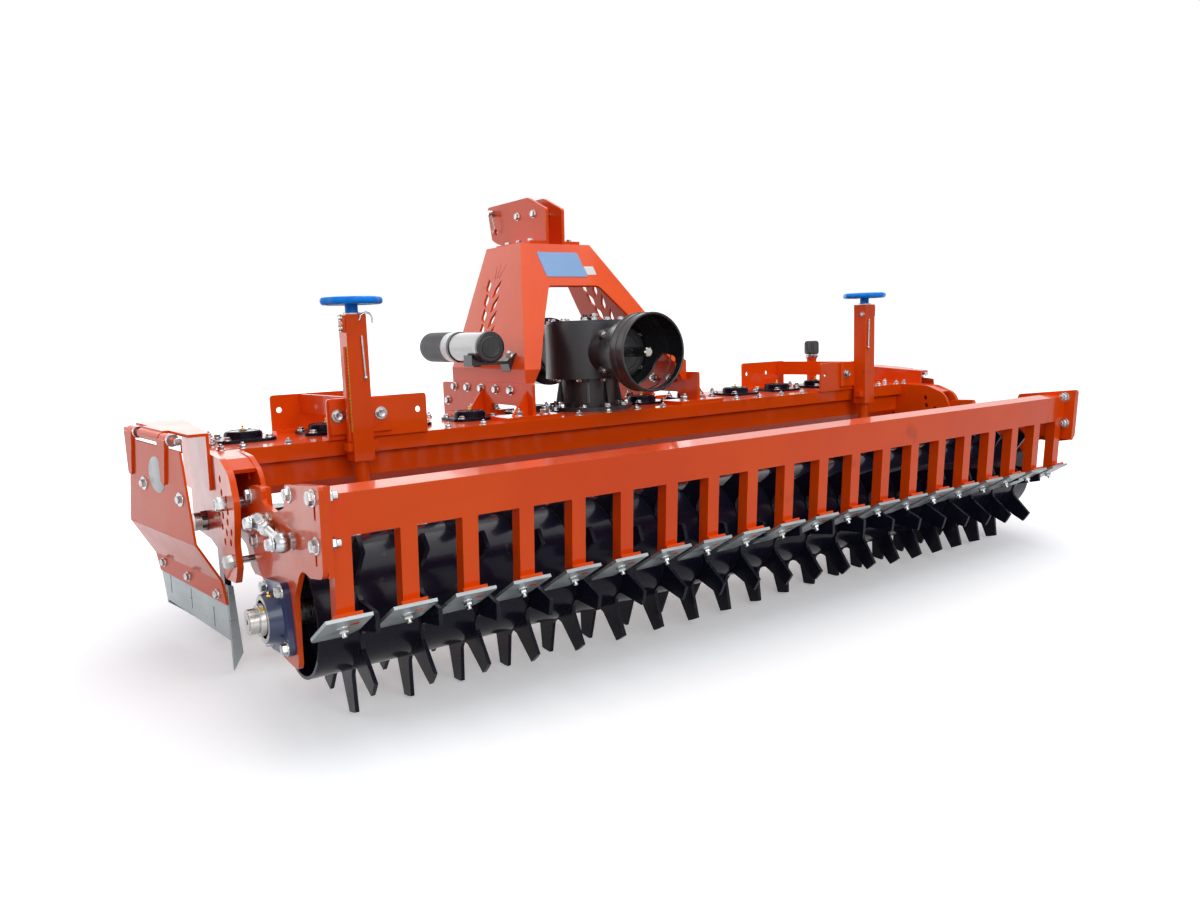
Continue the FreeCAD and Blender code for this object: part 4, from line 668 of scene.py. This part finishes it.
# the wear plate is slit in three places, and an edge is folded back at its rear
wearTop, wearFoot, frontColumn, slitLong, slitWide = stripZ - 12, stripZ - 165, 280.0, 58, 5
frontTop, frontFoot, footRise = 298, 257, 27
slits = [(-35.0, stripZ - 89), (98.0, stripZ - 69), (227.0, stripZ - 54)]
ys = sorted([wearBack, frontColumn] + [y + d for y, _ in slits for d in (0, slitWide)]
            + [30.0, 160.0])
zs = sorted([wearTop, wearFoot] + [z - d for _, z in slits for d in (0, slitLong)])
across, down = np.meshgrid(ys, zs)
kept = np.ones((len(zs) - 1, len(ys) - 1), bool)
for y, z in slits:
    rows = [k for k in range(len(zs) - 1) if zs[k] >= z - slitLong - 0.1 and zs[k + 1] <= z + 0.1]
    kept[rows, ys.index(y)] = False
# the front edge leans back and the lower edge rises towards the front
share = (wearTop - down) / (wearTop - wearFoot)
across = np.where(across == frontColumn, frontTop - (frontTop - frontFoot) * share, across)
down = np.where(share > 0.99, down + footRise * (across - wearBack) / (frontFoot - wearBack), down)
wear = moved(piercedPlate(across, down, kept, stripX - thick, stripX), toSide)
edge = slab([(stripX - 15, stripZ - 14), (stripX - 30, stripZ - 206), (stripX - 2, stripZ - 248),
             (stripX, wearFoot), (stripX, stripZ - 14)], 0, 7, 1)
edge = moved(edge, np.column_stack([rightward, (0, 0, 1), rearward]), (0, wearBack + 5, 0))
for side, piece in onShields("wearPlate", [wear, edge], "wearSteel"):
    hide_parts("shield_wear_plate_" + side)

disc = turned([(0, 50), (0.8, 50), (1.2, 49.4)], 64)
onShields("shieldSticker", [sideways(disc, shield["face"], [(102, -101)])], "paleSticker")
onShields("shieldUpperBolts", [sideways(bolt(19, 8, 1.9), shield["face"],
                                        [(192, -137), (-30, -149)])], "zincSteel")
onShields("shieldLowerBolts", [sideways(bolt(19, 7, 1.3), shield["strip"],
                                        [(251, -391), (96, -400), (-74, -412)])], "zincSteel")
ring = turned([(0, 16.5), (2, 17.5), (6, 17.5), (8, 16), (8, 12.5), (6, 11.5), (6, 9)], 36)
onShields("hingeRings", [copies(ring, [(0, y, 0) for y in shield["sleeveStarts"]], rearward)],
          "zincSteel")
rodEnd = turned([(0, 7), (5, 7), (6, 10), (8, 10.5), (10, 9), (10.5, 6)], 24)
onShields("hingeRodEnds", [copies(rodEnd, [(0, -4, 0)], rearward)], "zincSteel")
print("shield plates, stickers, bolts and hinge rings")

# sector plates and arms: stop heads and arm pin nuts
sector = {"face": 1526, "stops": ((-224, 477), (-277, 338)), "pinFace": 1491, "pivot": (3, 385)}
put("stopHeads", bothSides(sideways(bolt(33, 21, 1.0, 2.0), sector["face"], sector["stops"])),
    "chassis", "zincSteel")
pivot = turned([(33, 29), (36, 29), (36, 24, 1), (50, 24, 1), (52, 22, 0.4), (52, 13), (62, 13),
                (63, 11.5)], 36)
put("armPinNuts", bothSides(sideways(pivot, sector["pinFace"], [sector["pivot"]])), "chassis",
    "gearboxPaint")

# scraper adjusters: threaded rod, eye, lock nut, ball and pins
adjuster = {"x": 1503.0, "pinFace": 1524.0, "top": (-461.0, 477.0), "low": (-640.0, 468.0),
            "thread": 10.1}
way = np.array([0, *np.subtract(adjuster["low"], adjuster["top"])])
reach = np.linalg.norm(way)


# a rod whose radius along its length is radius - depth (1 - cos(2 pi h / pitch)) / 2
def threaded(radius, length, pitch=2.5, depth=0.7, steps=16):
    h = np.arange(0, length + 0.01, pitch / 3)
    return turned(np.column_stack([h, radius - depth * (1 - np.cos(2 * pi * h / pitch)) / 2,
                                   0 * h]), steps)


onRod = [threaded(adjuster["thread"], reach),
         turned([(-24, 15), (-22, 18), (-9, 21), (9, 21), (22, 16, 0.5), (30, 15, 1), (44, 15, 1),
                 (46, 13)], 24),
         turned([(57, 13), (59, 16, 1), (70, 16, 1), (72, 13)], 24)]
ball = turned([(r, 23 * cos(asin(r / 24.0)))
               for r in (-20, -16, -10, -4, 4, 10, 16, 20)], 24)
sleeve = turned([(reach - 48, 12), (reach - 46, 14), (reach - 18, 14)], 24)
ends = [adjuster["top"], adjuster["low"]]
shapes = [sideways(x, adjuster["x"], ends[:1], way) for x in onRod]
shapes += [sideways(ball, adjuster["x"], ends[1:]),
           sideways(sleeve, adjuster["x"], ends[:1], way),
           sideways(bolt(26, 12, 1.25, 3), adjuster["pinFace"], ends),
           sideways(turned([(0, 20), (3, 20), (4, 17), (8, 17)], 24), roller["plate"], ends),
           sideways(turned([(-4, 12), (44, 12)], 24), roller["plate"], ends)]
piece = put("adjusterParts", shapes + [mirrored(x) for x in shapes], "roller_frame", "zincSteel")
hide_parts("scraper_adjusters")

# roller bearings: inner ring, locking collar, nipple
ring = turned([(0, 56), (1.5, 56), (1.5, 46), (-0.5, 45), (-0.5, 39), (3, 38), (12, 38),
               (13, 37), (13, 27)], 48)
put("bearingRings", bothSides(sideways(ring, roller["bearing"], [roller["axis"]])),
    "roller_frame", "bareSteel")
grub = sideways(turned([(0, 6), (1.5, 6), (1.5, 3.4, 1), (0.4, 3.2, 1)]), 1535,
                [(axisY - 20, axisZ + 32)], (0, -0.53, 0.85))
nipple = sideways(greaseNipple, 1514, [(axisY - 18, axisZ + 58)], (0.3, -0.3, 0.9))
put("bearingNipples", bothSides(grub, nipple), "roller_frame", "brass")
shaftRing = turned([(0, 21), (1.2, 21), (1.2, 7), (-3, 5), (-3, 3)], 32)
put("shaftEnds", bothSides(sideways(shaftRing, roller["shaftEnd"], [roller["axis"]])), "roller",
    "bareSteel")
print("adjusters, stop heads and bearing rings")

# headstock plate and sticker
rearFace = {"y": 17, "z": 746, "run": 335, "rise": 460}
onSlope = np.column_stack([rightward, (0, 0.5887, 0.8084), (0, -0.8084, 0.5887)])


# a spot on the sloping rear face at height z: y = face y + run (z - face z) / rise
def slopeSpot(u, z):
    return (headX + u, rearFace["y"] + rearFace["run"] * (z - rearFace["z"]) / rearFace["rise"], z)


plate = slab(roundedBox(91.5, 59.4, 7, 48), 0, 1.8, 0.6)
putLeaned("blankPlate", [moved(plate, onSlope, slopeSpot(-12.5, 1124))], "bluePlate")
note = slab(roundedBox(22, 20.4, 3, 32), 0, 0.8, 0.2)
putLeaned("blankSticker", [moved(note, onSlope, slopeSpot(104, 1101.5))], "paleSticker")

# document tube: end disc, bands, ribbed cap, foot
tube = {"x": -575.0, "z": 830.0, "rear": 83.0, "cap": 364.0, "ribs": 10, "ribPitch": 16.0,
        "front": 532.0}


# profiles of height and radius laid along the tube's axis, their heights being y
def alongTube(*profiles):
    return [copies(turned(rows, 64), [(tube["x"], 0, tube["z"])], forward) for rows in profiles]


putLeaned("tubeEnd", alongTube([(79, 44), (79.5, 51), (81, 53), (94, 53), (96, 52)],
                               [(78, 30), (77, 34), (79.2, 36), (80, 38)]), "blackPlastic")
putLeaned("tubeBand", alongTube([(296, 52), (297, 54.5), (301, 54.8), (306, 53.8), (309, 54.8),
                                 (312, 54)]), "blackPlastic")
putLeaned("tubeRing", alongTube([(312, 52), (313, 53.4), (362, 53.4), (364, 52.5)]),
          "paleSticker")
body = putLeaned("tubeBody", alongTube([(tube["rear"], 49), (tube["rear"] + 2, 51),
                                        (tube["cap"] + 2, 51), (tube["cap"] + 4, 49)]),
                 "silverTube")
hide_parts("document_tube")
ribs = [(tube["cap"], 52)]
for y in tube["cap"] + 4 + tube["ribPitch"] * np.arange(tube["ribs"]):
    ribs += [(y, 54.5), (y + 5.5, 54.5), (y + 7, 52.8), (y + 13.5, 52.8)]
ribs += [(tube["front"] - 2, 54.5), (tube["front"] + 2, 53), (tube["front"] + 3, 48)]
putLeaned("tubeCap", alongTube(ribs), "gearboxPaint")
foot = slab([(-14, 182), (14, 182), (14, 258), (-14, 258)], 762, 781, 3)
putLeaned("tubeFoot", [moved(foot, by=(tube["x"], 0, 0))], "blackPlastic")
putLeaned("tubeBolt", [copies(bolt(19, 8), [(-486, 113, 801)], rearward)], "zincSteel")
print("plate, sticker and document tube")

# power take-off guard: bands, floor, splined shafts
guard = {"z": 796.0, "bands": ((130.5, 4.4, -232), (133.2, 2.2, -195), (133.2, 2.4, -164))}


# ring of circles about y: radius + thick cos b from the axis, thick sin b along it
def torus(radius, thick, steps=72, around=8):
    b = turns(around)
    t = turns(steps)[:, None]
    r = radius + thick * np.cos(b)
    return insideOut(closedGrid(np.stack([r * np.cos(t), thick * np.sin(b) + 0 * t,
                                          r * np.sin(t)], -1)))


putLeaned("guardBands", [moved(torus(radius, thick), by=(headX, y, guard["z"]))
                         for radius, thick, y in guard["bands"]], "blackPlastic")
floorDisc = turned([(-62, 86), (-72, 86), (-74, 83), (-74, 62), (-71, 60), (-71, 34), (-76, 32),
                    (-76, 22)], 72)
putLeaned("guardFloor", [insideOut(copies(floorDisc, [(headX, 0, guard["z"])], forward))],
          "gearboxPaint")
putLeaned("guardBolt", [copies(bolt(13, 6), [(headX - 18, -73, guard["z"] - 45)], rearward)],
          "zincSteel")
shaft = {"radius": 17.5, "teeth": 6, "depth": 3.2, "splines": 76, "rearEnd": -208,
         "frontEnd": 440}


# heights run inward from the free end; over the splined length the radius at angle t is
# R - depth where the wave cos(teeth t) is in its valley, and R elsewhere
def splined(root, steps=72):
    t = turns(steps)
    tooth = 1 / (1 + np.exp(-9 * np.cos(shaft["teeth"] * t)))
    radius, length = shaft["radius"], shaft["splines"]
    h, r, k = profile([(0, radius - 6), (0, radius - 4), (3, radius, 1), (length, radius, 1),
                       (length + 4, radius), (root, radius)])
    return spun(h, r - shaft["depth"] * k * (1 - tooth))


shafts = [copies(splined(220), [(headX, shaft["rearEnd"], guard["z"])], forward),
          copies(splined(120), [(headX, shaft["frontEnd"], guard["z"])], rearward)]
piece = putLeaned("ptoSplines", shafts, "bareSteel", "pto_line")
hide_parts("pto_shaft")
print("guard bands and splines")

# spindle posts: hook, rod, collar, bolts, rails and scale
post = {"x": 1119.0, "y": -113.0, "top": 943.0, "side": -1149.0, "hookY": -146.0,
        "rodY": -148.0, "scaleY": -138.0, "scaleZ": 736.0, "tickFoot": 622.0,
        "ticks": 24, "tickPitch": 10.0}


# points x, y, z from pairs of x and z on one upright plane
def atDepth(y, pairs):
    return np.array([(x, y, z) for x, z in pairs], float)


hook = atDepth(post["hookY"], [(-1110, 925), (-1108, 937), (-1101, 944), (-1090, 947),
                               (-1079, 944), (-1074, 937), (-1072, 918)])
rod = alongPath(atDepth(post["rodY"], [(-1107, 883), (-1106, 850), (-1104, 800), (-1103, 768)]),
                3, 10)
knob = moved(turned([(-5, 2.5), (-3.5, 4.6), (0, 5.8), (3.5, 4.6), (5, 2.5)], 16),
             by=(-1103, post["rodY"], 764))
collar = copies(turned([(0, 27), (4, 27), (5, 25)], 36), [(-post["x"], post["y"], post["top"])])
big, small = bolt(24, 9, 1.5), bolt(13, 6)
shapes = [alongPath(hook, 3, 10), rod, knob, collar,
          copies(big, atDepth(-86, [(-1170, 656), (-1041, 655)]), rearward),
          copies(small, atDepth(-129, [(-1158, 905), (-1158, 934)]), leftward)]
shapes += [mirrored(rod), mirrored(knob), mirrored(collar),
           copies(big, atDepth(-86, [(1170, 656), (1041, 655)]), rearward),
           copies(small, atDepth(-129, [(1089, 904)]), leftward)]
putLeaned("postFittings", shapes, "zincSteel")
toLeft = np.column_stack([(0, 0, 1), forward, leftward])
rail = slab(roundedBox(136, 7, 6, 24), 0, 8, 2)
block = slab(roundedBox(23.5, 11, 4, 24), 0, 8, 1.5)
shapes = [moved(rail, toLeft, (post["side"], -124, 717)),
          moved(block, toLeft, (post["side"] - 0.5, -129, 916))]
putLeaned("postRails", shapes + [mirrored(x) for x in shapes], "orangePaint")
strip = slab(roundedBox(125, 4.5, 1, 16), 0, 0.9, 0.2)
putLeaned("postScale", [moved(strip, toLeft, (post["side"], post["scaleY"], post["scaleZ"]))],
          "scaleYellow")
tick = slab(roundedBox(0.9, 3.8, 0.3, 8), 0, 0.5, 0.1)
putLeaned("scaleTicks", [moved(tick, toLeft, (post["side"] - 0.9, post["scaleY"],
                                              post["tickFoot"] + post["tickPitch"] * k))
                         for k in range(post["ticks"])], "blackPlastic")
print("spindle post fittings")

# handwheels: scalloped rim and web
wheel = {"z": 981.0, "radius": 88.0, "wall": 9.0, "lobes": 9, "scallop": 2.4}


# a rounded oblong section carried round at radius R - wall, its outer half drawn in by
# scallop (1 - cos(lobes t))
def scallopedRim(steps=144, around=12):
    t = turns(steps)[:, None]
    b = turns(around)
    half = wheel["wall"]
    bend = wheel["scallop"] * (np.cos(wheel["lobes"] * t) - 1)
    out = half * np.cos(b) * np.abs(np.cos(b)) ** -0.2
    r = wheel["radius"] - half + bend * (np.cos(b) > 0) + out
    return closedGrid(np.stack([r * np.cos(t), r * np.sin(t), (half + 1.5) * np.sin(b) + 0 * t],
                               -1))


web = turned([(-38, 16), (-36, 18), (-12, 18), (-8, 24), (-8, 76), (-6, 78), (-2, 78),
              (-1, 74), (-2, 30), (3, 22), (7, 20), (8, 17)], 48)
shapes = [moved(x, by=(post["x"], post["y"], wheel["z"])) for x in (scallopedRim(), web)]
piece = putLeaned("wheelRims", shapes + [mirrored(x) for x in shapes], "bluePlastic")
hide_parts("handwheels")

# top link: chain of the pin, every other link crossed
chain = np.array([(750, 1364), (738, 1352), (722, 1330), (716, 1305), (724, 1290), (741, 1288)],
                 float)
steps = np.concatenate([[0], np.cumsum(np.linalg.norm(np.diff(chain, axis=0), axis=1))])
along = np.arange(0, steps[-1], 9.0)
yz = np.column_stack([np.interp(along, steps, chain[:, k]) for k in (0, 1)])
link = torus(4.4, 1.1, 16, 6)
crossed = [[0, 1, 0], [1, 0, 0], [0, 0, -1]]
putLeaned("pinChain", [moved(link, None if k % 2 else crossed, (headX - 62, y, z))
                       for k, (y, z) in enumerate(yz)], "zincSteel")
print("handwheels and chain")

# gearbox: tall plug, neck ribs, nose bolts
plug = turned([(-6, 17), (1, 17), (1, 15, 1), (13, 15, 1), (15, 12), (15, 10), (22, 10),
               (24, 7)], 24)
putLeaned("gearboxPlug", [moved(plug, by=(headX - 6, rotorLine, gear["top"]))], "gearboxPaint")
rib = slab([(104, 0), (128, 0), (126, 14), (112, 86), (104, 86)], -5, 5, 1.2)
ribs = []
for t in 0.33 + turns(gear["ribs"]):
    turn = np.column_stack([(cos(t), sin(t), 0), (0, 0, 1),
                            (sin(t), -cos(t), 0)])
    ribs.append(moved(rib, turn, (headX, rotorLine, gear["neckFoot"])))
putLeaned("gearboxRibs", ribs, "gearboxPaint")
spots = [(headX + gear["lugRing"] * cos(a), gear["nose"],
          guard["z"] + gear["lugRing"] * sin(a)) for a in np.radians(gear["lugTurns"])]
lug = turned([(-16, 18), (-3, 18), (0, 15)], 24)
putLeaned("noseLugs", [copies(lug, spots, rearward)], "gearboxPaint")
putLeaned("noseBolts", [copies(bolt(17, 8), spots, rearward)], "zincSteel")
print("gearbox plug, ribs and lugs")

# stage, light and camera
stageLook = {"albedo": 0.86, "unseenAlbedo": 0.35, "liftNear": 0.26, "liftFar": 1.0,
             "nearTo": 0.7, "farFrom": 2.3, "narrow": (0.55, 1.0, 1.0),
             "fill": (0.75, 0.82, 1.0), "fillLevel": 0.24, "size": 30.0}


# one for camera, glossy and transmitted rays, nought for the rays that carry light
def background(tree):
    ways = addNode(tree, "ShaderNodeLightPath")
    value = ways.outputs["Is Camera Ray"]
    for other in ("Is Glossy Ray", "Is Transmission Ray"):
        most = addNode(tree, "ShaderNodeMath", operation="MAXIMUM")
        tree.links.new(value, most.inputs[0])
        tree.links.new(ways.outputs[other], most.inputs[1])
        value = most.outputs[0]
    return value


# a level square of floor, grey to the rays that carry light; those that show the background
# find it pale and lifted towards white by smoothstep((distance - near) / (far - near)), the
# distance from the middle being taken with x narrowed
def pieceOfFloor():
    s = stageLook["size"]
    mesh = bpy.data.meshes.new("floor")
    mesh.from_pydata([(-s, -s, -0.001), (s, -s, -0.001), (s, s, -0.001), (-s, s, -0.001)], [],
                     [(0, 1, 2, 3)])
    mat = bpy.data.materials.new("floorWhite")
    mat.use_nodes = True
    tree = mat.node_tree
    link = tree.links.new
    shader = tree.nodes["Principled BSDF"]
    for key, value in (("Roughness", 0.9), ("Specular IOR Level", 0.1),
                       ("Emission Color", (1, 1, 1, 1))):
        shader.inputs[key].default_value = value
    seen = background(tree)
    tone = addNode(tree, "ShaderNodeMapRange", To_Min=stageLook["unseenAlbedo"],
                   To_Max=stageLook["albedo"])
    link(seen, tone.inputs["Value"])
    link(tone.outputs["Result"], shader.inputs["Base Color"])
    coords = addNode(tree, "ShaderNodeTexCoord")
    narrowed = addNode(tree, "ShaderNodeVectorMath", operation="MULTIPLY")
    narrowed.inputs[1].default_value = stageLook["narrow"]
    link(coords.outputs["Object"], narrowed.inputs[0])
    away = addNode(tree, "ShaderNodeVectorMath", operation="LENGTH")
    link(narrowed.outputs["Vector"], away.inputs[0])
    grow = addNode(tree, "ShaderNodeMapRange", interpolation_type="SMOOTHSTEP",
                   From_Min=stageLook["nearTo"], From_Max=stageLook["farFrom"],
                   To_Min=stageLook["liftNear"], To_Max=stageLook["liftFar"])
    link(away.outputs["Value"], grow.inputs["Value"])
    lift = addNode(tree, "ShaderNodeMath", operation="MULTIPLY")
    link(grow.outputs["Result"], lift.inputs[0])
    link(seen, lift.inputs[1])
    link(lift.outputs[0], shader.inputs["Emission Strength"])
    mesh.materials.append(mat)
    floor = added("floor", mesh)


pieceOfFloor()
world = bpy.data.worlds.new("studio")
bpy.context.scene.world = world
world.use_nodes = True
tree = world.node_tree
sky = tree.nodes["Background"]
seen = background(tree)
strength = addNode(tree, "ShaderNodeMapRange", To_Min=stageLook["fillLevel"], To_Max=1.0)
tree.links.new(seen, strength.inputs["Value"])
tree.links.new(strength.outputs["Result"], sky.inputs["Strength"])
tint = addNode(tree, "ShaderNodeMix", data_type="RGBA")
tint.inputs[6].default_value = stageLook["fill"] + (1,)
tint.inputs[7].default_value = (1, 1, 1, 1)
tree.links.new(seen, tint.inputs["Factor"])
tree.links.new(tint.outputs[2], sky.inputs["Color"])

# each panel's power is its radiance times pi times its area
lamps = {
    "overhead": {"place": (0.4, 0.2, 5.0), "aim": (0, 0, 0.4), "size": (6, 4.5), "radiance": 2.2},
    "frontSky": {"place": (-0.5, 7.0, 2.2), "aim": (-0.3, 0, 0.5), "size": (14, 4),
                 "radiance": 1.1},
    "rearKey": {"place": (-1.5, -6.0, 3.6), "aim": (0, 0, 0.5), "size": (6, 3), "radiance": 3.2},
    "leftPanel": {"place": (-6.0, 1.5, 2.2), "aim": (-0.4, 0, 0.5), "size": (3.5, 3),
                  "radiance": 1.3},
}
for name, lamp in lamps.items():
    data = bpy.data.lights.new(name, "AREA")
    data.shape = "RECTANGLE"
    data.size, data.size_y = lamp["size"]
    data.energy = lamp["radiance"] * pi * lamp["size"][0] * lamp["size"][1]
    obj = added(name, data)
    obj.visible_camera = False
    obj.location = lamp["place"]
    way = np.array(lamp["place"]) - np.array(lamp["aim"])
    turn = axisFrames([way], np.zeros(1))[0]
    obj.rotation_euler = Matrix(turn.tolist()).to_euler()

camera = {"place": (-2.047, -2.618, 1.027), "pitch": pi / 2 - 0.180, "yaw": -0.617,
          "lens": 27.18}
data = bpy.data.cameras.new("camera")
data.lens = camera["lens"]
data.sensor_width = 36.0
eye = added("camera", data)
eye.location = camera["place"]
eye.rotation_euler = (camera["pitch"], 0, camera["yaw"])
bpy.context.scene.camera = eye
bpy.context.scene.view_settings.view_transform = "Standard"
print("stage, lamps and camera")
